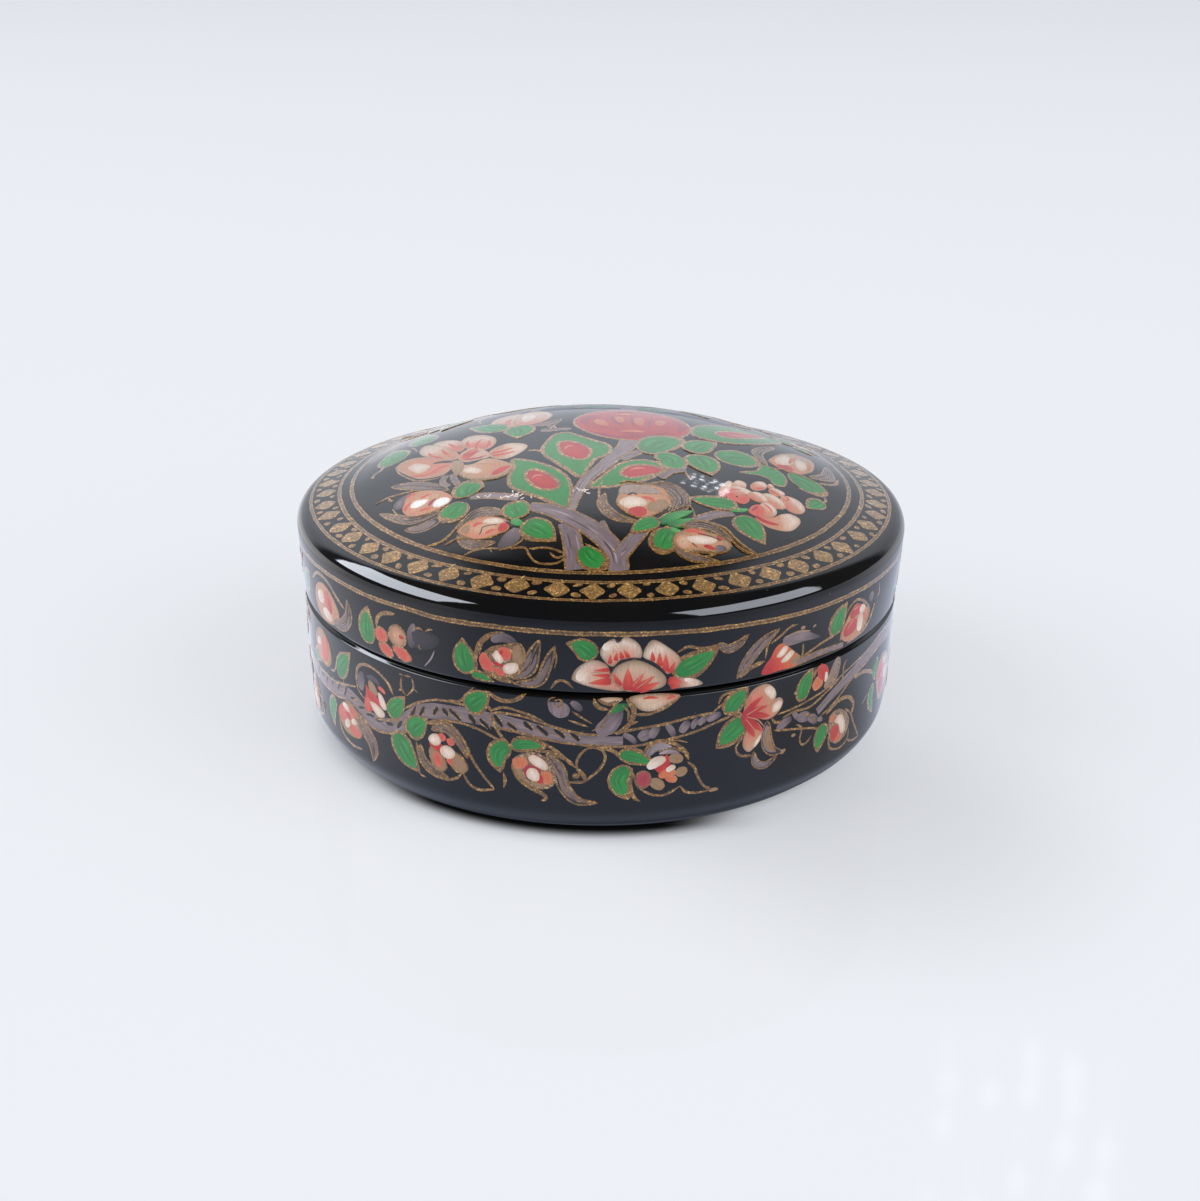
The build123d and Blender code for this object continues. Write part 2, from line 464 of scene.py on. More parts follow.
DABS = {"white": ([WHITE, CREAM], 0.03), "cream": ([CREAM, PEACH], 0.008),
    "peach": ([PEACH, blend(PEACH, GILT, 0.25)], 0.006), "coral": ([CORAL, blend(CORAL, BLUSH, 0.5)], 0.008),
    "red": ([RED, blend(RED, CORAL, 0.6)], 0.008), "beige": ([BEIGE, blend(BEIGE, GILT, 0.5)], 0.006),
    "mauve": ([MAUVE, MAUVE_DARK], 0.006), "orange": ([ORANGE, blend(ORANGE, PEACH, 0.5)], 0.006),
    "rose": ([ROSE, blend(ROSE, CORAL, 0.2)], 0.006), "dark": ([BLACK, BLACK], 0.003),
    "gold": ([GILT, GILT], 0.01), "green": ([GREEN, GREEN_DARK], 0.004),
    "pink": ([blend(CORAL, PEACH, 0.5), PEACH], 0.006)}
HEAPS = {"gold": "gilding", "mauve": "stems", "green": "leaves"}


class Sheet:
    """One flat sheet of the painting. place(x, y, lift) carries flat millimetres on to the lacquer."""
    CELL, GAP = 0.5, 0.0025

    def __init__(self, name, body, place, half_width, low, high, turns=(0,)):
        self.name, self.body, self.place, self.turns = name, body, place, turns
        self.corner = np.array([-half_width - 4, low - 4])
        size = ((2 * half_width + 8) / self.CELL, (high - low + 8) / self.CELL)
        self.height = np.zeros((int(size[0]) + 2, int(size[1]) + 2))
        self.heaps = {}

    def lay(self, heap, flat, lift, quads, tris, tint, brush, thick):
        """Puts one closed film on top of what its points cover and remembers the new height."""
        cell = np.clip(((flat - self.corner) / self.CELL).astype(int), 0, np.array(self.height.shape) - 1)
        under = self.height[cell[:, 0], cell[:, 1]].max()
        self.height[cell[:, 0], cell[:, 1]] = under + self.GAP + min(thick, 0.012)
        lift = np.where(lift < 0, -0.03, under + self.GAP + lift * thick)
        self.heaps.setdefault(heap, []).append((flat, lift, quads, tris, np.clip(tint, 0, 1), brush))

    def film(self, heap, grid, top, tint, brush, ends, thick, closed=False):
        """A closed film from a grid of flat points, rows along and columns across. top is each column's
        height, below 0 where it dips into the lacquer; the last column joins the first underneath. ends close
        the first and last row, unless the rows come round."""
        rows, n = grid.shape[:2]
        flat, lift = grid.reshape(-1, 2), np.tile(top, rows)
        tint, brush = tint.reshape(-1, 3), brush.reshape(-1, 2)
        if closed:
            number = np.arange(rows * n).reshape(rows, n)
            turn = np.roll(number, -1, 1)
            quads = np.stack([number, np.roll(number, -1, 0), np.roll(turn, -1, 0), turn], -1).reshape(-1, 4)
            return self.lay(heap, flat, lift, quads, np.zeros((0, 3), int), tint, brush, thick)
        self.lay(heap, np.vstack([flat, ends]), np.concatenate([lift, [-1, -1]]), *tube(rows, n),
            np.vstack([tint, tint[n // 2], tint[-1 - n // 2]]),
            np.vstack([brush, brush[0], brush[-1]]), thick)

    def mark(self, points, width, colours, form=(0.5, 1.0), heap="petals", thick=0.005, edge=None, waver=0.05):
        """One brush mark along a curve: P(u, v) = S(v) + u w(v) N(v), u from -1 to 1, w from lens(). Its rims
        dip into the lacquer and its ends are points. Colours run from root to tip; edge tints the rims."""
        points = places(points)
        rng = seeded(points)
        fine = width < 1.3
        length = norm(np.diff(np.asarray(points, float), axis=0), axis=1).sum()
        rows = int(np.clip(length / (0.32 if fine else 0.45), 9, 90))
        spine, v, length = curve(points, rows, spread="ends" if not fine or length < 6 else "even")
        w = lens(v, width, form)
        rim = min(0.35, 0.07 / (width / 2))
        if fine:
            u = np.array([-1, -1 + 1.5 * rim, 0, 1 - 1.5 * rim, 1])
            top = np.array([-1, 0.8, 1.0, 0.8, -1])
        else:
            u = np.concatenate([[-1, -1 + rim, -1 + 2 * rim], np.linspace(-0.72, 0.72, 7),
                [1 - 2 * rim, 1 - rim, 1]])
            top = np.concatenate([[-1, 0.6, 0.85], np.full(7, 1.0), [0.85, 0.6, -1]])
        left, right = (1 + waver * shake(rng, rows, length / 0.9) for _ in range(2))
        reach = np.where(u[None] < 0, left[:, None], right[:, None]) * w[:, None] * u[None]
        grid = spine[:, None] + across(spine)[:, None] * reach[..., None]
        tint = shades(colours, v)[:, None].repeat(len(u), 1)
        if edge is not None:
            tint = blend(tint, edge, (np.abs(u) ** 3)[None].repeat(rows, 0) * 0.9)
        tint = tint * (1 + 0.05 * shake(rng, len(u), 5)[None, :, None])
        brush = np.stack([reach, (v[:, None] * length).repeat(len(u), 1)], -1) + rng.uniform(0, 50, 2)
        self.film(heap, grid[1:-1], top, tint[1:-1], brush[1:-1], spine[[0, -1]], thick)

    def gold(self, points, width=0.5, taper=0.5, closed=False, tone=0.0, heap="gilding"):
        """A drawn gold line: a narrow mark along the curve, a little unsteady in width and in place, thinned
        at its ends by the taper, or joined to itself when closed."""
        pts = np.asarray(places(points), float)
        rng = seeded(pts)
        length = norm(np.diff(np.vstack([pts, pts[:1]]) if closed else pts, axis=0), axis=1).sum()
        rows = int(np.clip(length / 0.3, 8, 1400))
        spine, v, length = curve(pts, rows, closed)
        side = across(spine, closed)
        spine = spine + side * (0.05 * shake(rng, rows, length / 1.6, closed))[:, None]
        w = width / 2 * (1 + 0.16 * shake(rng, rows, length / 0.8, closed))
        if not closed:
            w = w * np.clip(np.minimum(v, 1 - v) * length / (taper + 1e-6), 0.04, 1) ** 0.6
        reach = w[:, None] * np.array([-1, -0.6, 0, 0.6, 1])[None]
        grid = spine[:, None] + side[:, None] * reach[..., None]
        tint = blend(GILT, GILT_PALE if tone > 0 else GILT_DARK, abs(tone)) + np.zeros((rows, 5, 1))
        brush = np.stack([reach, (v[:, None] * length).repeat(5, 1)], -1)
        ends = 1.04 * spine[[0, -1]] - 0.04 * spine[[1, -2]]
        self.film(heap, grid, np.array([-1, 0.8, 1.0, 0.8, -1]), tint, brush, ends, 0.005, closed)

    def band(self, spine, w, colour):
        """A branch's flat strip, with its own half width at each of the spine's places, closed at both
        ends."""
        count = max(10, int(norm(np.diff(spine, axis=0), axis=1).sum() / 0.5))
        line, v, length = curve(spine, count)
        rng = seeded(spine)
        w = np.interp(v, np.linspace(0, 1, len(w)), w) * (1 + 0.05 * shake(rng, count, length / 1.2))
        u = np.array([-1, -0.94, -0.86, -0.5, -0.17, 0.17, 0.5, 0.86, 0.94, 1])
        top = np.array([-1, 0.6, 0.9, 1, 1, 1, 1, 0.9, 0.6, -1])
        reach = w[:, None] * u[None]
        grid = line[:, None] + across(line)[:, None] * reach[..., None]
        tint = (colour * (1 + 0.12 * shake(rng, len(u), 6))[None, :, None]).repeat(count, 0)
        brush = np.stack([reach, (v[:, None] * length).repeat(len(u), 1)], -1) + rng.uniform(0, 50, 2)
        ends = 1.1 * line[[0, -1]] - 0.1 * line[[1, -2]]
        self.film("stems", grid, top, tint, brush, ends, 0.005)

    def patch(self, outline, colours, heap="petals", thick=0.005, rim=None, edge=None, count=36, root=None):
        """A filled shape: P(u, v) = C + u (O(v) - C), O a closed curve through the outline's points, C its
        middle and u from 0 to 1. Colours run from the middle or the root out; a rim adds a gold outline."""
        outline = places(outline)
        ring = curve(outline, count, closed=True)[0]
        x, y = ring.T
        if (x * np.roll(y, -1) - y * np.roll(x, -1)).sum() < 0:
            ring = ring[::-1]
        rng = seeded(outline)
        middle = ring.mean(0)
        inset = min(0.25, 0.07 / norm(ring - middle, axis=1).mean())
        u = np.array([0.34, 0.62, 0.84, 1 - 2 * inset, 1 - inset, 1.0])
        top = np.array([1.0, 1.0, 1.0, 0.9, 0.65, -1])
        wide = u[:, None] * (1 + 0.02 * shake(rng, count, 9, True))
        flat = middle + (ring - middle)[None] * wide[..., None]
        tint = shades(colours, u)[:, None].repeat(count, 1)
        if root is not None:
            far = norm(flat - np.array(root), axis=2)
            near = far.min()
            tint = shades(colours, (far - near) / (far.max() - near))
        if edge is not None:
            tint = blend(tint, edge, (u ** 6)[:, None].repeat(count, 1))
        brush = flat.reshape(-1, 2) + rng.uniform(0, 50, 2)
        centre = tint[:1].mean(1)
        self.lay(heap, np.vstack([flat.reshape(-1, 2), middle, middle]),
            np.concatenate([np.repeat(top, count), [1, -1]]), *tube(len(u), count),
            np.vstack([tint.reshape(-1, 3), centre, centre]), np.vstack([brush, brush[:1], brush[:1]]), thick)
        if rim:
            self.gold(curve(outline, max(14, len(outline)), closed=True)[0], rim, closed=True)

    # -- the painter's stock of forms
    def leaf(self, points, width, rim=0.55, form=(0.55, 1.0)):
        """A leaf from stalk to tip: a gold ground drawn to a point, green over it short of the rim, and dark
        and pale strokes along it."""
        points = places(points)
        rng = seeded(points)
        self.mark(points, width + 2 * rim, [GILT], form, "gilding")
        ends = curve(points, 21)[0][[1, 5, 9, 13, 17]] + rng.uniform(-0.12, 0.12, 2)
        green = blend(GREEN, GREEN_DARK, rng.uniform(0, 0.12))
        inner = (form[0] * 0.8, form[1] * 0.72)
        colours = [blend(green, GREEN_DARK, 0.3), green, blend(green, GREEN_PALE, 0.15)]
        self.mark(ends, width, colours, inner, "leaves")
        spine, v, _ = curve(ends, 11)
        side = across(spine)
        for t, shade, amount, start, end in ((0.02, GREEN_DARK, 0.55, 1, 10),
                (0.42, GREEN_PALE, 0.5, 2, 8), (-0.45, GREEN_DARK, 0.35, 1, 8), (-0.2, GREEN_PALE, 0.35, 3, 9)):
            run = slice(start, end, 2)
            line = spine[run] + side[run] * (t * lens(v[run], width, inner))[:, None]
            self.mark(line, width * 0.15, [blend(green, shade, amount)], (0.8, 0.9), "leaves", 0.002)

    def petal(self, points, width, root=CORAL, tip=CREAM, form=(0.8, 0.42), rays=0, ray=RED, line=None):
        """A petal from root to rounded tip, shaded root to tip, with pointed rays up from the root."""
        self.mark(points, width, [root, blend(root, tip, 0.55), tip, tip], form)
        spine = curve(points, 9)[0]
        side = across(spine)
        for k in range(rays):
            t = (k + 0.5) / rays * 2 - 1
            reach = 5 + (k % 2)
            fan = ((1, 0.16), (3, 0.26), (reach, 0.34))
            spread = [spine[n] + side[n] * t * width * far for n, far in fan]
            self.mark(spread, width * 0.62 / (rays + 0.6), [ray, blend(ray, CORAL, 0.4)], (0.35, 1.2),
                thick=0.003)
        if line is not None:
            w = lens(np.linspace(0.02, 0.98, 9), width, form)[:, None]
            self.fine(np.vstack([spine + side * w, (spine - side * w)[::-1]]), line)

    def fine(self, points, colour, width=0.22):
        """A hair line in body colour, the same width all along."""
        self.mark(points, width, [colour], (0.08, 0.08), thick=0.003, waver=0.2)

    def dab(self, x, y, length, width, colours, turn=0.0, edge=None, thick=0.008, form=(0.5, 0.5),
            heap="petals"):
        """One touch of a loaded brush: an oval of paint centred on x, y, turned from the x axis."""
        step = np.array([math.cos(math.radians(turn)), math.sin(math.radians(turn))]) * length / 2
        middle = np.array([x, y])
        bow = np.array([-step[1], step[0]]) * 0.12
        self.mark([middle - step, middle + bow, middle + step], width, colours, form, heap, thick, edge)

    def dabs(self, kind, touches, shift=0):
        """Several dabs of one kind, colours from DABS: "x,y,length,width,turn" each, in mm and degrees."""
        colours, thick = DABS[kind]
        for touch in touches.split():
            x, y, length, width, turn = (float(n) for n in touch.split(","))
            self.dab(x + shift, y, length, width, colours, turn, thick=thick, heap=HEAPS.get(kind, "petals"))

    def strokes(self, kind, width, *lines):
        """Several thin strokes of one kind along their own curves."""
        for line in lines:
            self.mark(line, width, DABS[kind][0], (0.6, 0.8), HEAPS.get(kind, "petals"), 0.004)

    def shapes(self, kind, *outlines, **how):
        """Several filled shapes of one kind, colours from DABS."""
        colours, thick = DABS[kind]
        for outline in outlines:
            self.patch(outline, colours, HEAPS.get(kind, "petals"), thick, count=28, **how)

    def golds(self, width, *lines):
        """Several gold lines of one width."""
        for line in lines:
            self.gold(line, width, 0.9)

    def stem(self, points, widths, tone=0.0, rim=0.38, streaks=2):
        """A branch: mauve drawn from width to width, dark and pale drags along it, gold on each side."""
        points = places(points)
        count = 2 * len(points) + 5
        spine, v, _ = curve(points, count)
        side = across(spine)
        w = np.interp(v, np.linspace(0, 1, len(widths)), widths) / 2
        base = blend(MAUVE, MAUVE_PALE if tone > 0 else MAUVE_DARK, abs(tone))
        self.band(spine, w, base)
        rng = seeded(points)
        for k in range(streaks):
            t = rng.uniform(-0.6, 0.6)
            start = rng.integers(0, count - 5)
            part = slice(start, start + rng.integers(4, 7), 2)
            shade = MAUVE_DARK if k % 2 == 0 else MAUVE_PALE
            self.mark(spine[part] + side[part] * (w[part, None] * t), w.mean() * 0.32,
                [blend(base, shade, 0.75)], (0.7, 0.9), "stems", 0.002)
        self.gold(spine + side * w[:, None], rim)
        self.gold(spine - side * w[:, None], rim)

    def sepal(self, points, width, lines=2, form=(0.75, 0.85), tone=0.0, rim=0.34):
        """A long sepal: a dark ground, mauve strokes side by side along it with black showing between them,
        and gold on both edges and between the strokes."""
        points = places(points)
        base = blend(MAUVE, MAUVE_PALE if tone > 0 else MAUVE_DARK, abs(tone))
        self.mark(points, width, [blend(MAUVE_DARK, BLACK, 0.55)], form, "stems", 0.003)
        spine, v, _ = curve(points, 13)
        side, w = across(spine), lens(v, width, form)
        rng = seeded(points)
        for k in range(lines + 1):
            t = (2 * k + 1) / (lines + 1) - 1 + rng.uniform(-0.06, 0.06)
            shade = blend(base, BEIGE, rng.uniform(0, 0.35))
            line = (spine + side * (w * t)[:, None])[rng.integers(0, 2):13 - rng.integers(0, 3):3]
            self.mark(line, width / (lines + 1) * 0.86, [shade, blend(shade, MAUVE_DARK, 0.3)], form, "stems",
                0.003)
        for t in np.linspace(-1, 1, lines + 2):
            outer = abs(t) == 1
            thin, tone = (rim, 0) if outer else (rim * 0.62, -0.3)
            self.gold(spine + side * (w * t)[:, None], thin, tone=tone)

    def finish(self):
        """Joins each heap's films into one piece, repeated at every turn, and puts it on its body. The films
        shine with the lacquer's normals, because the varnish lies over paint and ground alike."""
        for heap, films in self.heaps.items():
            points, normals, tints, brushes, quads, tris = [], [], [], [], [], []
            total = 0
            for turn in self.turns:
                for flat, lift, q, t, tint, brush in films:
                    where, normal = self.place(flat[:, 0] + turn, flat[:, 1], lift)
                    points.append(where)
                    normals.append(normal)
                    tints.append(tint)
                    brushes.append(brush)
                    quads.append(q + total)
                    tris.append(t + total)
                    total += len(flat)
            piece = mesh_object(f"{self.name}_{heap}", np.vstack(points), np.vstack(quads), np.vstack(tris),
                self.body, FINISH[heap.split("_")[0]], np.vstack(tints), np.vstack(brushes),
                np.vstack(normals))


# ---- the lid's top
def ring_points(radius, x=0.0, y=0.0, count=40, wander=0.06):
    """Points of a hand-drawn circle: r(a) = radius + wander (sin 5a + sin(8a + 2)/2)."""
    a = np.arange(count) / count * TAU
    r = radius + wander * (np.sin(5 * a + radius) + np.sin(8 * a + 2) / 2)
    return np.stack([x + r * np.sin(a), y - r * np.cos(a)], 1)


def border(top):
    """The gilded border: two gold circles inside, one outside, and between them 52 lozenges with two
    small ovals in every gap."""
    rng = np.random.default_rng(52)
    for radius, width, y in ((40.75, 0.76, -0.55), (42.85, 0.7, -0.55), (47.5, 0.62, 0)):
        for apart, wide, tone in ((0, 0.7, -0.7), (0.34, 0.38, 0.05), (-0.34, 0.38, 0.05)):
            top.gold(ring_points(radius + apart * width, -0.1, y, 90), wide * width, closed=True, tone=tone,
                heap="gilding_border")
        for k in range(34):
            x, dy = ring_points(radius, -0.1, y, 360)[rng.integers(0, 360)]
            top.dab(x, dy, 0.9 * rng.uniform(0.7, 1.4), 0.3, [GILT_PALE if k % 2 else GILT],
                rng.uniform(0, 180), heap="gilding_border")
    count = 52
    for k in range(count):
        a = (k + 0.5) / count * TAU - math.radians(1.4) - math.pi / count + rng.normal(0, 0.004)
        out, along = np.array([math.sin(a), -math.cos(a)]), np.array([math.cos(a), math.sin(a)])
        middle = out * (45.3 + rng.normal(0, 0.07))
        size = 1.86 * (1 + rng.normal(0, 0.05, 8)) * np.tile([1.0, 0.80], 4)
        turn = rng.normal(0, 0.07) + np.arange(8) / 8 * TAU
        loop = middle + size[:, None] * (np.sin(turn)[:, None] * out + np.cos(turn)[:, None] * along)
        top.patch(loop, [blend(GILT, GILT_PALE, 0.12)], "gilding_border", 0.008, count=20)
        gap = a + math.pi / count
        out, along = np.array([math.sin(gap), -math.cos(gap)]), np.array([math.cos(gap), math.sin(gap)])
        for radius in (44.15, 46.5):
            x, y = out * (radius + rng.normal(0, 0.1)) + along * rng.normal(0, 0.12)
            top.dab(x, y, 1.35 * (1 + rng.normal(0, 0.12)), 1.05 * (1 + rng.normal(0, 0.1)), [GILT],
                turn=math.degrees(gap) + rng.normal(0, 25), heap="gilding_border")


def trunk(top):
    """The mauve branches that rise from the front of the border."""
    top.stem("-5,-1 -10,-1", (1.0, 1.4), rim=0.25)
    top.stem("3,-14 7,-10", (1.6, 1.0))
    top.stem("14,-29.3 17,-27 20,-25.5", (1.5, 1.3))
    top.stem("-20,-22 -17,-22.6 -12.5,-24.3", (1.3, 1.5), tone=0.25)
    top.stem("-5,-30 -3.8,-25 -2.5,-21 0,-17 2,-13 4,-9 4.5,-6.3", (1.3, 1.6, 2.2, 3.0), tone=0.15, streaks=4)
    top.stem("-3.5,-40.6 -4,-36 -5,-31.3", (3.0, 2.5), streaks=3)
    top.stem("2.7,-40.8 2,-37 -1,-33 -4,-30.5 -8,-28 -10.8,-26.9", (2.9, 3.1, 3.0, 1.8), streaks=6)
    top.stem("2.7,-38 4.6,-35 6.3,-32.4", (2.4, 1.9), streaks=2)
    top.stem("0.9,-33.4 0.2,-31", (0.9, 0.7), rim=0.25, streaks=0)
    rng = np.random.default_rng(3)
    for x, y, spread, count in ((-12.6, -23.6, 1.0, 14), (-16, -23, 1.6, 7), (-3, -23.6, 0.7, 8),
            (5, -20.8, 0.8, 7)):
        for _ in range(count):
            dx, dy = rng.normal(0, (spread, 0.35))
            top.dab(x + dx, y + dy, rng.uniform(0.4, 0.9), 0.34, [WHITE], rng.uniform(0, 180), thick=0.004)


def teardrop_leaf(top, outline, heart, spark):
    """A broad leaf with a red teardrop in a gold line at its heart and a pale spark of light on the red."""
    green = blend(GREEN, GREEN_DARK, 0.1)
    top.patch(outline, [blend(green, GREEN_DARK, 0.35), green, green], "leaves", rim=0.85)
    top.patch(heart, [blend(RED, CORAL, 0.5), blend(RED, CORAL, 0.3), blend(RED, ROSE, 0.2)], rim=0.95)
    top.mark(spark, 0.55, [blend(CORAL, CREAM, 0.5)], (0.7, 0.7), thick=0.004)


def teardrop_leaves(top):
    """The four leaves with red hearts, two in front, one under the red flower and one beyond it."""
    teardrop_leaf(top, "-13.9,-12.5 -9.4,-14.9 -5.8,-18.8 -4.7,-22.5 -5.3,-27.9 -8.1,-25.7 -12.8,-22.1"
        " -14.3,-19.7 -13.6,-15.2", "-11.5,-17 -10.5,-16.7 -7.6,-19.2 -6.4,-22 -7,-23 -9.3,-22.6 -11.4,-19.6",
        "-10.7,-19.4 -10,-18.6 -9,-18.9")
    top.gold("-11.7,-9.6 -10.4,-9.8 -9.2,-10.6", 0.8)
    teardrop_leaf(top, "-9.4,-9.6 -8.1,-5.2 -6.7,-2.4 -4.9,-3.8 -1,-7.2 0.9,-8.6 1.2,-12 -1.3,-14.7"
        " -3.2,-19.8 -6,-16.1 -8.2,-13.3", "-6.7,-7.2 -5.1,-7.1 -2.8,-8.9 -1.7,-11.2 -2.8,-14.3 -5.9,-12.6"
        " -6.8,-10", "-5.9,-10.4 -5.4,-9.2 -4.4,-8.9")
    teardrop_leaf(top, "-2.1,-22.7 -0.4,-20.6 2.9,-15.7 5,-14.3 7.3,-14 10.4,-16.3 6.4,-20.3 2,-22.3",
        "3,-18.8 4.1,-16.5 7.3,-15.6 9.7,-16.9 8,-18.5 4.2,-19.8", "4.4,-17.6 5.6,-16.8 6.8,-16.7")
    teardrop_leaf(top, "15.2,-0.6 15.4,4.6 19.6,9.6 25.4,12.4 30.6,12 28.6,6.6 24.4,1.4 19.6,-1.6",
        "18.8,3.2 20,1.6 22.8,3.3 26,6.8 28,11 24.5,9 20.7,6.1", "21,3.4 22.6,4.6 24,6.2")


def round_flower(top):
    """The round rose: a deep red disc with a gold rim, petals parted by darker and orange curls."""
    middle = np.array([5.1, 3.0])
    top.patch(ring_points(9.6, *middle, count=12, wander=0.15), [blend(RED, CORAL, 0.5),
        blend(RED, CORAL, 0.25), RED, blend(RED, CORAL, 0.5)], rim=0.6)
    deep = blend(ROSE, UMBER, 0.15)
    for line, width in (("0.2,8.5 -2.8,4.5 -2.2,-1", 1.6), ("-1.5,-3.2 3.5,-5.5 9,-4", 1.4),
            ("12.6,-0.5 13.4,4 11.2,8.8", 1.6), ("2,-1.4 4.6,-3.2 7.8,-1.8", 1.3),
            ("1.5,9.8 5.5,11.2 9.8,9.6", 1.3)):
        top.mark(line, width, [deep, blend(RED, ROSE, 0.5)], (0.8, 0.9), thick=0.003)
    for x, y, length, width, turn in ((0.1, 2.2, 4.6, 2.0, 110), (3.1, 4.4, 4.4, 1.7, 95),
            (6.4, 3.9, 5.4, 1.7, 90), (9.9, 4.2, 4.2, 1.8, 78), (4.9, -2.4, 4.4, 1.2, 5),
            (3.6, 8.6, 3.0, 1.3, 20)):
        top.dab(x, y, length, width * 1.1, [blend(ORANGE, CORAL, 0.3), blend(ORANGE, PEACH, 0.5)], turn,
            form=(0.7, 0.6), thick=0.008)
    for line in ("1.6,7.2 2.2,3 3.6,0", "4.9,7.6 5,3.4 5.4,0.2", "8.4,7.4 7.9,3.6 7.6,0.2",
            "3,-4.3 7,-4.2 11,-1"):
        top.mark(line, 0.8, [deep], (0.7, 0.7), thick=0.005)


def pale_blossom(top):
    """The large pink and white blossom on the left: seven petals shaded outwards from a deep pink cup."""
    tan, pale, foot = (blend(BEIGE, CREAM, 0.3), blend(CREAM, WHITE, 0.4), (-22.4, -9))
    for line in ("-24.4,-13.6 -24.9,-15.4 -23.8,-17.5", "-23.4,-13.6 -23,-15.6 -22.2,-17.6"):
        top.stem(line, (1.0, 0.9), rim=0.22, streaks=1)
    for outline, colours in (("-30.3,1.5 -29.6,3.7 -28,2.7 -25.2,-1.8 -22.7,-7.2 -23.1,-8.6 -26,-6.2"
            " -29.2,-2.4", [BLUSH, PEACH, pale, CREAM]),
            ("-28,3 -26.9,3.6 -23.7,1.2 -22,-3.6 -22.7,-5.4 -24.1,-4.4 -26,-0.8",
            [CORAL, BLUSH, pale, CREAM]), ("-23.2,-0.6 -22.4,1.8 -20.9,2 -17.7,-0.9 -17.1,-4.6 -18.2,-6.7"
            " -20,-6.3 -21.8,-4.5", [CORAL, BLUSH, pale, CREAM]),
            ("-18.2,-8.9 -17.4,-6.9 -15,-5.5 -11.8,-7.3 -12.3,-9.5 -14.8,-11.7 -16.8,-11.2",
            [BLUSH, PEACH, pale, pale]), ("-33.5,-4.1 -32.7,-2.1 -31.3,-1.7 -26.6,-5.4 -23.2,-9.7"
            " -24.9,-13.1 -28.6,-12.4 -32,-7.6", [BLUSH, blend(BLUSH, PEACH, 0.5), PEACH]),
            ("-22.4,-11.1 -21,-11.7 -18.2,-10.5 -14.9,-13.1 -13.9,-14.6 -15.6,-17.4 -19.4,-17 -22.4,-13.8",
            [CREAM, PEACH, blend(PEACH, GILT, 0.3)]),
            ("-23,-8.4 -22.6,-5.9 -20.8,-4.4 -19.4,-5.8 -17.6,-9.9 -20.1,-10.5 -21.5,-10.5",
            [BLUSH, blend(BLUSH, CREAM, 0.5), CREAM])):
        top.patch(outline, colours, root=foot, edge=tan, thick=0.008)
    top.shapes("white", "-31.3,-5.8 -30.4,-5.2 -28.8,-6.4 -27.3,-8.6 -28.8,-10.2 -30.4,-8.3",
        "-21.8,-12.9 -20.9,-12.5 -18.6,-14.7 -19.1,-15.5 -21.6,-14")
    top.dab(-20.9, -7.2, 4.0, 2.3, [blend(CORAL, RED, 0.3), CORAL, BLUSH], 66, thick=0.008)
    top.strokes("dark", 1.1, "-27.1,-7.5 -25.4,-8 -23.5,-9.2", "-22.4,-10.8 -20.4,-11.3 -18.8,-10.4")
    top.strokes("rose", 0.7, "-22.2,-7.3 -20.8,-7.4 -19.3,-6.7", "-22.1,-9.2 -20,-9.7 -18.1,-9.2")
    top.strokes("coral", 0.75, "-25.5,-6.4 -27.4,-4.2 -28.5,-1.3", "-24.6,-5.6 -25.4,-4 -26.2,-1.4",
        "-23.9,-2.6 -24.5,-1 -25.3,0.8", "-20.2,-5.8 -20.3,-3.4 -19.6,-1", "-21.4,-4 -22,-1.8 -21.8,0",
        "-18.6,-6 -18.2,-4 -18.4,-2.4", "-17.8,-8.8 -16,-8.6 -14.1,-7.8", "-17.4,-9.8 -15.6,-9.8 -13.6,-9.4",
        "-30.4,-10.2 -28,-11.4 -25.2,-11.2", "-24.2,-10 -26,-10.3 -27.6,-11.6")
    top.strokes("red", 1.7, "-17,-16.8 -15.4,-15.3 -14.1,-14.6")
    top.strokes("peach", 0.8, "-20.2,-11.9 -18.2,-12.6 -16.6,-13.6")
    top.mark("-23.4,-8.9 -22.7,-11.5 -22.5,-14.7", 2.1, [tan, blend(BEIGE, GILT, 0.4)], (0.6, 0.8))
    top.golds(0.4, "-33.6,-3.6 -32.4,-7.6 -29.2,-12.4 -26,-13.7 -24.2,-12.8",
        "-22.4,-14 -21,-16 -18.4,-17.8 -15.4,-17.7 -13.7,-15")
    top.leaf("-35,-1.6 -34.6,3.2 -35.6,8.6", 4.6)
    top.leaf("-28.8,5.3 -30.4,9.5 -31.2,14.6", 4.2)
    top.gold("-31.9,5.6 -31,3.2 -30.6,1.4", 0.5)
    top.gold("-36.4,0.6 -36,-2 -37.3,-3.6 -37,-5.2", 0.8, 1.2)


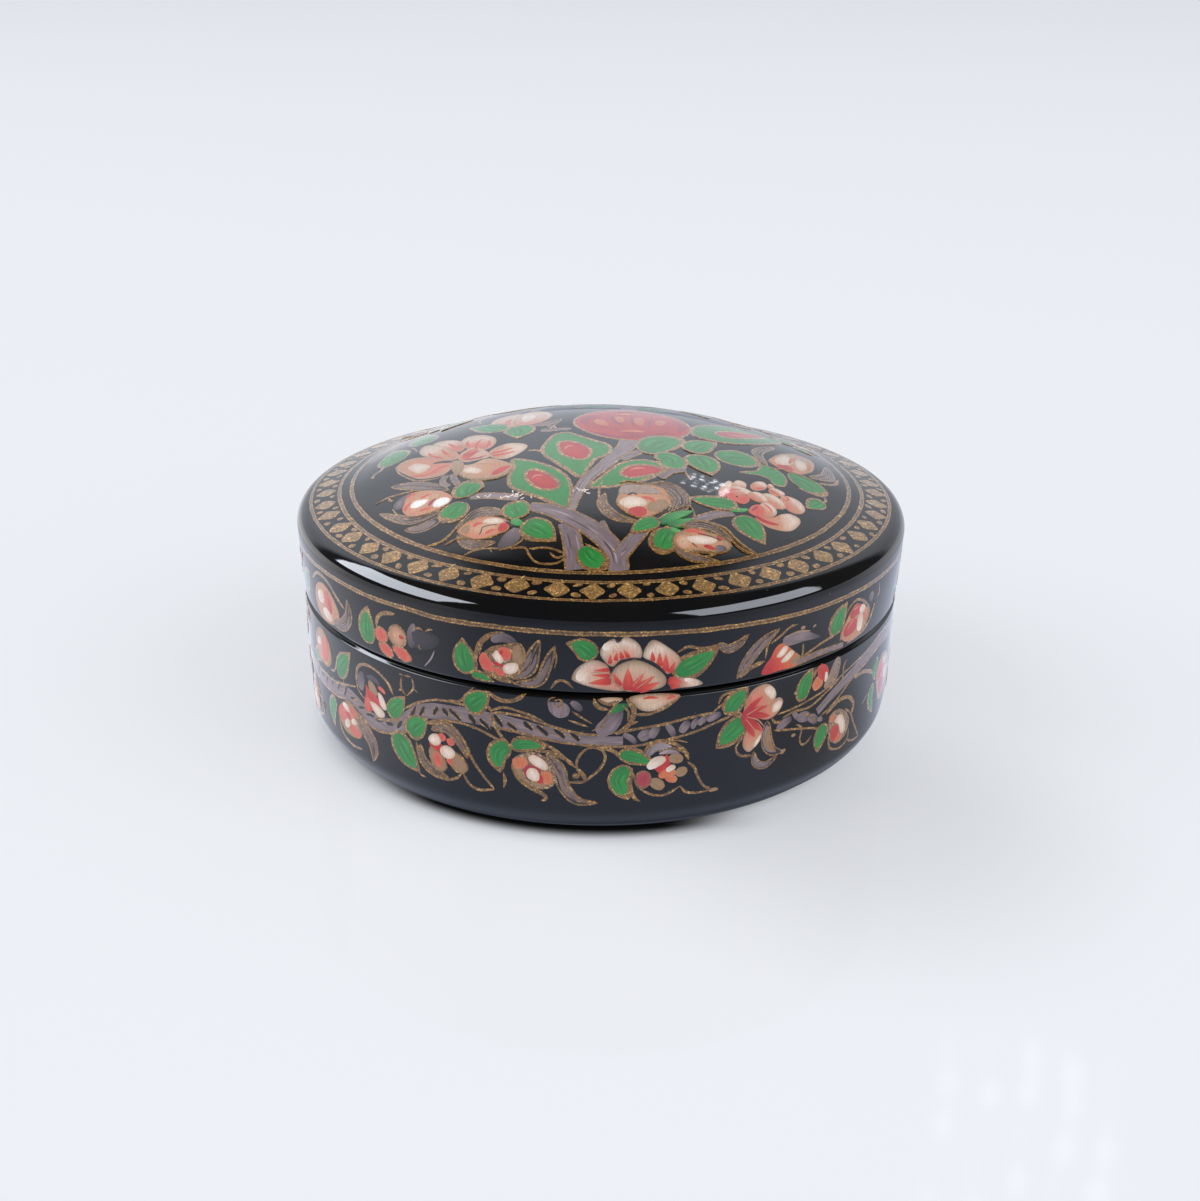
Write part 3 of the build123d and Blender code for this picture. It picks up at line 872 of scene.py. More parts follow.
def left_buds(top):
    """The two half-open buds between the pale blossom and the border, in mauve sepals and gold tendrils."""
    top.sepal("-33.4,-11.7 -29.8,-13.9 -23.4,-18.8", 2.2, lines=1)
    top.sepal("-34.4,-19.4 -31.2,-22.6 -28.5,-24.5 -24.4,-24", 1.7, lines=2, form=(0.9, 0.5))
    top.sepal("-29.8,-26.2 -27.1,-27 -24,-25.8", 2.0, lines=0, form=(0.9, 0.5))
    top.patch("-30.5,-21.2 -30.7,-18.4 -30,-16.4 -27.1,-17 -24.4,-18.8 -22.8,-21.4 -24.3,-23.4 -27.3,-24"
        " -29.2,-23.2", [blend(PEACH, CREAM, 0.5), PEACH, blend(PEACH, BLUSH, 0.5)], root=(-27, -20),
        thick=0.008)
    top.shapes("mauve", "-32.3,-18.8 -31.7,-17.2 -30.4,-16.4 -29.7,-16.2 -30.4,-18 -30.6,-20 -31.3,-20.4")
    top.strokes("coral", 0.9, "-30.3,-17.6 -29.6,-16.9 -28.7,-17.3", "-28,-19 -27.1,-18.6 -26.2,-18.3",
        "-30.2,-21.4 -30,-20.2 -29.4,-19.1", "-27.9,-22.5 -26.8,-22.5 -25.6,-22.4")
    top.strokes("rose", 0.9, "-26.4,-22 -26,-20.8 -25.3,-20.1")
    for outline in ("-29.4,-20.8 -28.9,-19.3 -28,-19.4 -26.6,-20 -27.2,-21.1 -28.3,-21.5",
            "-25.8,-22.3 -25.7,-21.2 -24.5,-20.4 -23.2,-21.2 -23.2,-22.2 -24.8,-23"):
        top.patch(outline, [(1, 1, 1), (1, 1, 1), WHITE], thick=0.03, count=24)
    top.gold("-29,-15.9 -31.6,-15.5 -33.4,-15.2 -35.4,-16", 0.55, 1.0)
    top.gold("-33.4,-15.4 -33,-16.4 -32.4,-17", 0.5)
    top.gold("-32.3,-19.4 -31.2,-21.6 -29,-23.4 -26.2,-23.8 -23.6,-22.8", 0.34)
    top.leaf("-20.4,-22 -20.6,-20 -19.6,-17.4", 4.0, form=(0.5, 0.45))
    top.leaf("-21,-23 -22.2,-25 -23.6,-27.2", 3.9, form=(0.5, 0.42))
    top.gold("-24.2,-27.2 -22.6,-27.2 -20.6,-26.6", 0.4)

    top.sepal("-14,-27.9 -18.4,-26.8 -21.4,-29.6", 2.0, lines=2, tone=0.1)
    top.sepal("-21.4,-31 -19,-33.6 -15.4,-34", 1.6, lines=2, tone=-0.1)
    top.patch("-21.3,-30 -20.6,-29 -18.6,-28 -16.6,-28.1 -13.6,-30.1 -13.4,-31.3 -15.4,-32.5 -17.9,-32.8"
        " -20.4,-31.4", [CREAM, PEACH, blend(PEACH, CORAL, 0.3)], rim=0.3)
    top.strokes("coral", 0.9, "-19,-30 -18.5,-29.4 -17.5,-29.5", "-17.1,-31.9 -16.2,-31.4 -15.5,-31.4")
    top.shapes("white", "-17.8,-29 -16.6,-28.5 -14.8,-29.2 -14.3,-29.9 -15.4,-30.2 -16.9,-29.8")
    top.shapes("beige", "-20.9,-30.2 -20.5,-29.4 -19.6,-29.2 -19.5,-30.6 -20,-31.3")
    top.fine("-18,-32 -17.7,-31.2 -17.7,-30.5 -16.6,-30.2 -15.3,-30.4", UMBER, 0.28)
    top.shapes("red", "-15.3,-31.2 -14.9,-30.3 -14,-30.2 -13.6,-31.2 -14.2,-31.9 -15,-32.1")
    top.strokes("dark", 0.6, "-14.2,-29.9 -13.5,-30.6 -13.4,-31.5")
    top.gold("-20.6,-27.4 -22.3,-30.2 -23.6,-31.5 -25.7,-31.8", 0.5, 1.0)
    top.gold("-19.4,-32.2 -21.4,-31.8 -23.1,-32.6", 0.55, 0.8)
    top.gold("-20,-35.5 -18.6,-34.9 -16.2,-35 -14.6,-35.4", 0.45)
    top.gold("-16.2,-35.2 -15.9,-35.9", 0.4)
    top.mark("-12.4,-31.6 -13.2,-33.6 -14.9,-35.4", 2.7, [MAUVE, MAUVE_DARK], (0.5, 0.6), "stems")
    top.gold("-12,-31.8 -11.4,-33.8 -12.6,-35.2 -14.8,-35.7", 0.34)
    top.mark("-13.3,-29.4 -12.4,-30.4 -11.6,-31.2", 1.4, [GREEN_PALE, GREEN], (0.5, 0.5), "leaves")
    top.leaf("-12,-29.6 -12.6,-27.6 -13.2,-25.2", 3.5, form=(0.5, 0.45))
    top.leaf("-11.6,-30.8 -9.4,-32.4 -6.5,-35.2", 3.8)
    top.gold("-13.1,-35.8 -11,-36 -10.4,-37.4 -9.2,-38.9 -6.4,-39.3 -4.8,-38.2", 0.36)
    top.gold("-10.4,-36.2 -7.4,-36.4 -5.2,-37.8 -6.4,-38.3 -7.4,-37.3", 0.34)


def front_buds(top):
    """The curled bud and the long bud in front, right of the trunk, with their leaves."""
    top.leaf("-2.4,-36.2 -1.4,-38.6 1.2,-40.2", 3.2, form=(0.6, 0.5))
    top.gold("-2.3,-35.8 -1,-36.6 0.6,-37.6 1.3,-39.2", 0.4)
    top.sepal("0.6,-24.2 0.2,-27 2.2,-29.9 5.6,-31", 1.8, lines=3)
    top.sepal("7.4,-21.2 10.6,-22 12.2,-25.2 10.6,-29", 2.7, lines=4, tone=0.1)
    top.gold("0.2,-20.6 -0.3,-23 -0.1,-27 2,-30.4 5,-31.3", 0.4)
    top.patch("2.6,-24.9 2.4,-27 3.7,-28.9 5.9,-30 8.5,-28.6 10.5,-25.6 9.4,-22.4 6,-21.8 3.4,-22.6",
        [PEACH, PEACH, blend(PEACH, GILT, 0.35)], rim=0.32)
    top.patch("2.8,-24.4 3.1,-22.6 4.5,-22 8.1,-22.6 9,-23.8 5.7,-24.2",
        [BEIGE, blend(MAUVE_PALE, BEIGE, 0.4)], rim=0.22)
    top.shapes("white", "2.6,-26.7 3.5,-25.5 5,-25.1 6.6,-25.7 6.9,-26.9 4.1,-28.2")
    top.shapes("beige", "7.1,-26.6 8.3,-25.6 9.8,-25.2 10.1,-26.6 8.6,-28.4 6.9,-28.3")
    top.shapes("red", "3.9,-28.8 4.8,-27.7 6,-27.4 6.9,-28.1 6.7,-29.4 5.2,-29.9")
    top.strokes("coral", 0.9, "6,-25.2 7.3,-25.3 8.6,-26.4")
    top.strokes("dark", 0.55, "4,-24.9 4.8,-24.2 5.5,-24.8")
    top.gold("2.8,-21.6 4,-21 7,-21.4 9.6,-20.3", 0.4)
    top.gold("8.9,-23.9 10,-24.3 10.6,-25.6 10,-28", 0.3)
    for line in ("8.3,-30.6 10.6,-29.2 13.8,-27.2", "9.8,-31.2 11.6,-30.6 13.9,-29",
            "8.8,-31.2 10.2,-29.6 12.6,-28.4"):
        top.mark(line, 1.7, [GREEN_DARK, GREEN, GREEN_PALE], (0.6, 0.9), "leaves", 0.01)
    top.gold("8,-30.8 10.4,-28.2 13.2,-26.2 14,-28.6 12.6,-30.6 10.8,-31.4", 0.32)
    top.leaf("8.7,-30.4 6.8,-31.4 4.2,-33.6", 2.4, rim=0.4)
    top.leaf("10.4,-32 9.4,-34 8.4,-37.2", 3.3, form=(0.6, 0.55))
    top.gold("9.4,-31.6 11,-32.2 11.2,-33.4", 0.5)
    top.mark("10.3,-31.8 11.2,-32.3 11.8,-32.2", 1.0, [GREEN_PALE], (0.5, 0.5), "leaves")

    top.sepal("11.9,-31.1 15.6,-30.1 19.6,-32.4", 1.8, lines=3)
    top.sepal("10.4,-35.4 12.6,-37 17.6,-37.2", 1.1, lines=1)
    top.gold("14,-29.3 18.2,-29.8 20.4,-32.2 22.9,-34", 0.55, 1.2)
    top.gold("19.4,-32.3 20.8,-33.6 22.8,-34.2", 0.36, 0.8)
    top.patch("10.5,-34.7 10.9,-33.3 13,-31.5 15.3,-31.5 19.3,-33.3 17.4,-35.2 14.5,-35.8 12,-36.3",
        [PEACH, PEACH, blend(BEIGE, GILT, 0.3)], rim=0.34)
    top.shapes("cream", "11,-34.4 11.8,-33.1 13,-33.3 13.3,-34.6 12.6,-35.8 11.6,-35.7")
    top.shapes("white", "12.2,-33.7 13.4,-33 15.5,-32.6 17.3,-32.9 16.3,-34 13.6,-34.5")
    top.strokes("coral", 1.0, "12.4,-32.2 13.9,-31.8 15.6,-32.2")
    top.dabs("red", "17.5,-32.5,1,0.7,-20 15.9,-34.8,1.7,1,-10")
    top.dabs("mauve", "17.6,-34.6,1.8,1.3,15")
    top.mark("13.2,-32.8 13.5,-34.6 14.2,-35.2", 0.3, [UMBER], (0.3, 0.3), thick=0.004)
    top.fine("14.2,-32.3 16,-32.4 17.8,-33", UMBER, 0.24)
    top.gold("13.4,-35.7 14.8,-36.7 17,-35.6", 0.4)


def puffed_cluster(top):
    """The cluster of rounded pink and white petals on the right with red at their roots."""
    pale, tan = (blend(CREAM, WHITE, 0.5), blend(PEACH, BEIGE, 0.5))
    for outline, root in (("18,-21.8 18.2,-19.7 20,-16.4 20.6,-17.3 19.4,-20.4 18.8,-22.3", (19, -22)),
            ("19.8,-19.4 20.3,-17.4 21.3,-15.7 22.5,-15.9 21.9,-18.9", (21, -20)),
            ("23.1,-16.8 24.1,-14.8 25.4,-14 26,-14.8 25.3,-16.8 23.5,-17.8", (24, -18)),
            ("25.9,-15.3 26.5,-14 27.1,-14.5 27,-15.5 26.3,-15.9", (26, -17)),
            ("26,-16.6 26.7,-15.2 27.8,-15.1 28.8,-15.9 28,-17.3 26.7,-17.6", (26, -18)),
            ("28,-17 29.3,-16.4 31,-16.8 31.7,-19 30.6,-20.8 29.1,-21 28,-19.6", (27, -21)),
            ("24.4,-18.8 26.2,-17.4 28,-18.4 28.4,-20.6 26.8,-21.4 25,-20.6", (25, -22)),
            ("23.2,-24.8 26.1,-24.1 27.6,-22.4 29.3,-21.4 30.6,-22 29.8,-24.9 28.2,-26.5 24.8,-26.8",
            (23, -25)), ("24.3,-21.5 25.5,-20.3 26.5,-20.9 27,-22.1 26.4,-23.7 25.1,-24.6 24.1,-24",
            (24, -24)), ("19,-20.6 19.9,-18.6 21.3,-17.6 23.5,-18.5 22.3,-19.8 20,-21", (20, -22)),
            ("22.4,-19.9 23.8,-18.1 25.2,-18.4 25.8,-20 24.8,-20.9 23.4,-20.9", (22, -22))):
        top.patch(outline, [CORAL, BLUSH, PEACH, pale, pale], root=root, edge=tan, thick=0.008, count=28)
    top.shapes("coral", "19.1,-20.5 19.7,-19.3 20.4,-20.3 20.9,-22.1 19.9,-22.6 19.3,-21.8",
        "22.4,-24.2 23.3,-22.2 24.3,-21.7 24.9,-23.1 24.3,-24.7 23.1,-24.9",
        "20.6,-21.8 21.5,-20.2 22.5,-20 22.8,-21 21.9,-22.5 21,-22.7")
    top.strokes("red", 0.8, "23.3,-24.9 25,-25.7 27,-25.5")
    top.strokes("coral", 0.6, "23.9,-16.8 24.8,-16.6 25.7,-15.8", "28.3,-16.7 29.2,-17.3 28.2,-18.6",
        "26,-16.3 27,-16.6 28,-17.4", "19.6,-20 20.4,-19 21.6,-18.7", "24.8,-21 25.8,-21.9 26.2,-23")
    top.strokes("rose", 0.7, "22.9,-23.9 23.6,-22.9 24,-22.2")
    for line in ("22.4,-23.7 20.6,-24.8 19.4,-25.4", "21.8,-24.4 20.4,-24.2 19.4,-24.4"):
        top.mark(line, 0.9, [GREEN_PALE, GREEN], (0.6, 0.8), "leaves")
    top.leaf("20.8,-23.2 17,-23.9 12.9,-24", 2.6)
    top.leaf("20.8,-25.8 22.3,-28 24.5,-31.2", 4.0)
    top.gold("20,-22.6 20.6,-23.6 21,-25", 0.45)


def right_leaves(top):
    """The leaves and the small upright bud on the right of the red flower."""
    top.leaf("7.2,-11.8 8.8,-7.4 13.4,-3.4", 5.2, form=(0.6, 0.7))
    top.leaf("8.2,-12.2 10.8,-12.8 10.6,-16.8", 4.0, form=(0.5, 0.5))
    top.gold("9.6,-16.8 12.4,-15.8 13.3,-17.4 13.6,-18.6", 0.5, 0.8)
    top.stem("9,-19.3 11,-17 13.1,-15.9", (1.2, 0.9), rim=0.3, streaks=1)
    top.leaf("14.4,-9.3 15.5,-6 18.8,-2.4", 4.0)
    top.leaf("14.6,-9.8 15.9,-12.6 17.2,-16.4", 5.0)
    top.leaf("18.2,-9.4 21.4,-7.6 25.4,-5.6", 5.4, form=(0.55, 0.5))
    top.patch("21.8,-12.8 24.6,-10.6 26,-7.4 28.6,-8.2 29.4,-10.8 28.2,-14 27,-13.6 26.2,-11.9",
        [blend(GREEN, GREEN_DARK, 0.25), GREEN, GREEN], "leaves", rim=0.5)
    top.leaf("29.8,-9.4 32.4,-9.2 35.4,-12", 5.4, form=(0.5, 0.5))
    top.gold("35.2,-11 35.6,-13 35,-14.2", 0.5)
    top.leaf("35,-13.8 33.8,-15.4 31.9,-18.2", 2.3, rim=0.4)
    top.sepal("26.6,-7.2 25.4,-2.5 28.8,4.2", 1.7, lines=2)
    top.sepal("33.6,-6 37,-2.4 37.9,4.6", 2.1, lines=2, tone=0.2)
    top.gold("34.6,-7.6 38,-4.4 39.2,-0.4", 0.8, 1.6)
    top.patch("27.2,-5 28.1,-2 29.8,1.4 32.2,4.5 34,5.7 35.1,4.5 35.2,1.1 34.3,-2.8 32.7,-5.5 30,-7.2",
        [BLUSH, PEACH, blend(BEIGE, CREAM, 0.5), BEIGE], root=(29.6, -7.2), rim=0.3)
    top.shapes("white", "28.1,-3.8 29.3,-0.4 30.6,1.6 31.6,-1 30,-4.4 28.5,-5.1",
        "31.6,-2 32.6,1.4 33.6,0.8 33.5,-2.7 32.3,-4.6")
    top.strokes("orange", 0.9, "33.8,-3 34.3,0 34.3,3.4", "30.6,-3 31.4,0 32.4,2.6")
    top.shapes("red", "28.2,-6.1 29,-4.6 30.4,-4.2 31.1,-5.3 29.8,-7")
    top.gold("27,-8 28.8,-7 31.4,-6.6 34.4,-7.2", 0.4)


def upper_bud(top):
    """The large pale bud behind the blossom, with a leaf on each side."""
    top.sepal("-12.4,3.6 -9.2,2.7 -6.8,5.6", 2.2, lines=1, tone=0.3)
    top.sepal("-7.6,-0.6 -8.4,1.4 -7.4,2.2", 1.0, lines=0)
    top.petal("-14,3 -15.4,8.4 -14.6,14.6", 6.6, root=PEACH, tip=blend(CREAM, PEACH, 0.3), form=(0.5, 0.6))
    top.petal("-13,3 -11.4,8.6 -12,14.6", 6.0, root=BLUSH, tip=CREAM, form=(0.5, 0.6), line=BEIGE)
    top.mark("-12.8,5 -12.3,8.4 -12.6,12.4", 2.4, [CREAM, WHITE, CREAM], (0.8, 0.8), thick=0.008)
    top.mark("-15.2,4.4 -15.8,7 -15.4,9.6", 1.1, [BLUSH, CORAL], (0.8, 0.8), thick=0.003)
    top.leaf("-16,1.6 -18.8,5.2 -22.6,8.6", 4.0)
    top.leaf("-14.4,3.2 -13.4,0 -13.6,-4", 4.4)
    top.gold("-17.4,1.4 -19.6,3 -20.6,4.6", 0.4)
    top.gold("-20.6,10.4 -21,14.4 -20,18", 0.6, 1.5)


# ---- a free sprig, for the parts of the design that repeat
def spot(x, y, turn=0.0, size=1.0, flip=1):
    """A function that takes a sprig's own millimetres to the sheet: turned, scaled, mirrored where flip is
    -1, then moved."""
    c, s = math.cos(math.radians(turn)) * size, math.sin(math.radians(turn)) * size

    def to_sheet(points):
        return [(x + c * a - s * b * flip, y + s * a + c * b * flip) for a, b in places(points)]
    return to_sheet


def sprig(sheet, x, y, turn, size=1.0, flip=1):
    """A bud on its stalk: two leaves at the root, a peach body with coral and white dabs, a sepal curling
    over each side and gold tendrils beyond."""
    at = spot(x, y, turn, size, flip)
    sheet.sepal(at("-1,1.2 2.5,3.8 7,1.8"), 1.8 * size)
    sheet.sepal(at("-1,-1.4 2.5,-3.9 6.4,-2.4"), 1.5 * size)
    sheet.patch(at("-0.6,0 1.4,2.3 4.4,2.3 6.6,0.2 4.6,-2.2 1.2,-2.4"), [CREAM, PEACH,
        blend(PEACH, GILT, 0.3)], rim=0.34 * size)
    for a, b, length, width, lean, colours in ((1.6, 1, 2.4, 1.5, 20, [CREAM, PEACH]),
            (3.6, 0.7, 2.8, 1.6, 10, [WHITE, CREAM]), (1.2, -0.9, 2.2, 1.5, -25, [RED, CORAL]),
            (4.2, -0.9, 1.8, 1.2, -10, [CORAL, BLUSH]), (5.3, 0.2, 1.3, 1.0, 0, [BEIGE, CREAM])):
        sheet.dab(*at([(a, b)])[0], length * size, width * size, colours, turn + lean * flip, thick=0.005)
    sheet.leaf(at("-0.9,0.7 -2.2,2.4 -2.4,5.2"), 2.8 * size, rim=0.42)
    sheet.leaf(at("-0.9,-0.7 -2.6,-1.9 -3.2,-4.8"), 2.9 * size, rim=0.42)
    sheet.gold(at("6.2,1.8 8.6,0.6 9.6,-1.8 8.2,-2.6"), 0.42, 1.0)
    sheet.gold(at("5.8,-2.6 8,-3.4 10.4,-3"), 0.4, 1.0)


def far_side(top):
    """The back of the dome: more branches, a pale blossom, buds and leaves in the same hand."""
    top.stem("5,12.6 4.2,17 1,21.5 -3.4,25.2 -8,27.4", (2.4, 2.2, 1.6), streaks=4)
    top.stem("3.4,18.6 7.4,22.4 13,24.6 18.6,24.2", (1.9, 1.6, 1.2), streaks=3)
    top.stem("-4.6,25.6 -3.6,29.6 -0.6,33", (1.4, 1.0), streaks=1)
    top.stem("10.2,24 11.4,28 14.4,31.4", (1.3, 1.0), streaks=1)
    top.stem("-12,15.4 -10.6,19 -6.6,24.8", (1.0, 1.3), streaks=1)
    for k, (turn, width) in enumerate(((80, 6.2), (150, 6.6), (222, 6.2), (300, 6.0), (10, 6.4))):
        at = spot(-17, 28.4, turn - 30)
        top.petal(at("1,0 4,0.4 7.2,0"), width, root=(CORAL, BLUSH, PEACH)[k % 3],
            tip=blend(CREAM, WHITE, 0.3), form=(0.6, 0.42), rays=3, ray=BLUSH, line=BEIGE)
    top.patch(ring_points(2.1, -17, 28.4, 8, 0.1), [CORAL, BLUSH, CREAM])
    top.dab(-17.2, 28.2, 2.0, 1.6, [RED, CORAL], 40, thick=0.008)
    sprig(top, 0.4, 34, 78, 0.86)
    sprig(top, 15.6, 32.4, 40, 0.84, -1)
    sprig(top, 20.6, 24, -12, 0.98)
    sprig(top, -29.4, 20.2, 150, 0.86)
    sprig(top, 33.4, 13.6, 62, 0.78, -1)
    for line, width in (("3,16.8 -0.6,17.4 -5,15.4", 3.8), ("5,16.4 9.4,17.4 13.6,15.6", 4.0),
            ("-1,23.4 3.2,25.8 4.2,29.6", 3.6), ("8.6,23 8.2,27.6 6,31.6", 3.2),
            ("14.4,24.4 17.2,20.8 18.4,16.6", 3.8), ("16.6,25 20.4,28 24.4,28.6", 3.6),
            ("-8.6,27.2 -9.6,31 -8,35", 3.6), ("-9.2,20 -5.6,19 -2.6,20.6", 3.0),
            ("-23.6,24 -25.6,25.2 -27.2,26", 3.0), ("-23,20.4 -26,16.8 -27.6,13", 3.4),
            ("27.6,20.6 30,24 29.4,28.4", 3.6), ("33,12.6 30.6,16 29.2,17.4", 2.6)):
        top.leaf(line, width)
    for line in ("-31,16.4 -34.6,14.6 -36,11.4 -34.4,10.2", "24.8,21.4 26,17.6 24.2,15.2 22.4,16.6",
            "-21.6,34 -20.2,36.4 -16.4,36.6 -15,35", "7.6,36.4 10.8,37.4 13.4,36.2"):
        top.gold(line, 0.45, 1.0)


top_skin = Skin(lid_outside[lid_outside[:, 1] > 35.6], 0)


def on_top(x, y, lift):
    """The lid's top seen from above: (x, y) goes to radius sqrt(x^2 + y^2) and its own angle."""
    return top_skin.at(np.hypot(x, y), np.arctan2(x, -y), lift)


top = Sheet("lid_top", "lid", on_top, 50, -50, 50)
border(top)
trunk(top)
far_side(top)
upper_bud(top)
round_flower(top)
teardrop_leaves(top)
right_leaves(top)
pale_blossom(top)
left_buds(top)
puffed_cluster(top)
front_buds(top)
top.finish()


# ---- the walls
def great_blossom(skirt, base, x):
    """The open flower across the seam: petals with red rays round a cup on the skirt, one petal and its calyx
    on the cup below. x shifts it along the wall."""
    def at(points):
        return [(a + x, b) for a, b in places(points)]
    pale, tan = (blend(CREAM, BEIGE, 0.25), blend(BEIGE, CREAM, 0.25))
    skirt.leaf(at("-0.7,30.5 -2.4,32.3 -4.8,33"), 2.9, rim=0.35)
    skirt.leaf(at("10.6,27.7 13.8,29 17.7,31.3"), 3.0, rim=0.75)
    rim = blend(BEIGE, UMBER, 0.3)
    for root, foot, outline in (((1.9, 27.6), BLUSH,
            "-4,27.2 -3.7,28.4 -2.9,29.4 -0.9,30.5 1.1,29.7 1.8,27.9 3.8,25.5 -0.1,25.8 -3.4,26.8"),
            ((3.4, 30), BLUSH, "0.1,31.1 0.1,32.1 1.4,33.6 2.2,33.8 2.8,33.3 3.5,34.1 5.5,33 6.1,30.7"
            " 3.1,30.4 1.8,29.3"), ((9.8, 27.8), BLUSH,
            "6.2,30.9 6.3,32.1 7.5,33.5 9.7,32.3 11.8,29.9 10,27.8 8.7,29.1"),
            ((10.2, 26.2), RED, "10.2,27.1 12.4,27.1 14.8,26.4 15.4,25.7 12,25.4 10.4,25.6"),
            ((4.8, 25.2), CORAL, "1.6,27.6 2.3,29.3 4.9,30.4 7.8,29.3 9.8,27.2 9.7,26.1 8.6,25.5 6.4,25.4"
            " 3.9,25.4")):
        skirt.patch(at(outline), [foot, blend(foot, CREAM, 0.3), blend(foot, CREAM, 0.75),
            pale if foot is CORAL else blend(CREAM, WHITE, 0.6), tan], edge=rim, root=(root[0] + x, root[1]),
            count=48)
    skirt.dab(x - 2.4, 28, 2.4, 1.6, [WHITE, CREAM], 60)
    skirt.dab(x + 1.4, 32.6, 2.2, 1.3, [WHITE, CREAM], 30)
    skirt.dab(x + 13.4, 26.3, 2.2, 1.0, [WHITE, CREAM], -25)
    for line, width in (("1.5,28.9 -1,28.7", 0.8), ("1.6,27.9 -1.1,28", 0.8), ("1.8,27.1 -1.6,26.7", 1.3),
            ("1.5,29.8 1.6,31.4", 0.8), ("2.3,30.3 2.5,31.7", 0.85), ("3.3,30.6 2.9,31.9", 0.85),
            ("4.2,30.7 3.4,32.1", 0.8), ("10.2,28 11,29.9", 1.0), ("9.6,28.2 9.5,31.2", 1.2),
            ("8.7,29.1 8.6,31.5", 1.1), ("7.7,30 7.5,31.7", 0.9), ("10,26.8 12.2,26.4", 1.4),
            ("10.4,25.8 12,25.7", 1.0), ("3.1,26.2 1.8,28.6", 1.0), ("4.2,25.5 4.1,29.2", 1.7),
            ("4.6,25.5 6.5,28.3", 1.2), ("5.1,25.5 8.1,27.8", 1.3), ("5.7,25.4 8.9,26.7", 1.4)):
        skirt.mark(at(line), width, [RED, CORAL, blend(CORAL, BLUSH, 0.5)], (0.25, 1.0), thick=0.004)
    for line in ("1.6,27 2.8,26.4 3.8,25.5", "4.8,26.1 6.1,27.9", "5.4,25.8 7.6,27.6", "1,28.4 -1.2,28.4"):
        skirt.mark(at(line), 0.28, [tan], (0.5, 0.8), thick=0.003)
    for line, width in (("1.6,28.2 2.3,29.5 3.3,30.2 4.8,30.7 6.2,30.5", 0.42),
            ("6.4,30.5 7.8,29.8 9,28.7 9.9,27.6", 0.42), ("2.2,33.8 2.6,33.2 2.9,33.8", 0.4),
            ("6.2,30.9 6.3,31.9 6.9,33", 0.25)):
        skirt.mark(at(line), width, [UMBER], (0.4, 0.6), thick=0.004)
    skirt.golds(0.55, at("11.3,31.2 12.8,31.9 14.6,31.5 17,31.6 18,31.9"))
    skirt.sepal(at("17.4,32 18.8,30.9 20.4,31.2 22.2,32.6"), 1.2, lines=1, rim=0.34)
    skirt.golds(0.65, at("-7,25.5 -6,26.8 -4.9,26.8 -3.7,25.8"))
    base.mark(at("-0.2,18.6 1.8,20.4 3,23"), 2.7, [MAUVE, MAUVE, MAUVE_DARK], (0.3, 0.4), "stems")
    base.dabs("green", "3,22.6,2.9,1.3,20", x)
    base.golds(0.8, at("2.6,18.4 4.4,20 5.1,22 4,24.2"))
    base.golds(0.42, at("-1,19 0.6,20 1.6,22.2 3,24"), at("3.4,23.2 4.4,22 4.2,20.6"))
    base.patch(at("4.2,24.25 5.1,23.2 6.1,22.3 7.3,22 8.6,22.2 10.1,23 12.2,24.25"),
        [BLUSH, CREAM, CREAM, tan], root=(x + 10.6, 24.6), edge=rim)
    base.patch(at("0,24.2 0.9,23.6 1.9,23.3 2.8,23.6 3.5,24.2"), [CREAM, tan])
    base.dabs("coral", "7.6,24.1,2.4,0.5,0 10.6,24,1.4,0.6,10", x)
    base.golds(0.5, at("5.2,21.6 7.6,21.6 10,22.6 12,24.2"), at("5.4,21.6 5.2,23.2 4.4,23.8"),
        at("5,21.4 4.7,20.2 5.8,20.5"))
    base.golds(0.8, at("-0.8,24.3 -0.2,23 1.4,22.5"), at("-0.2,24.2 1.4,23.4 3.4,24.3"))


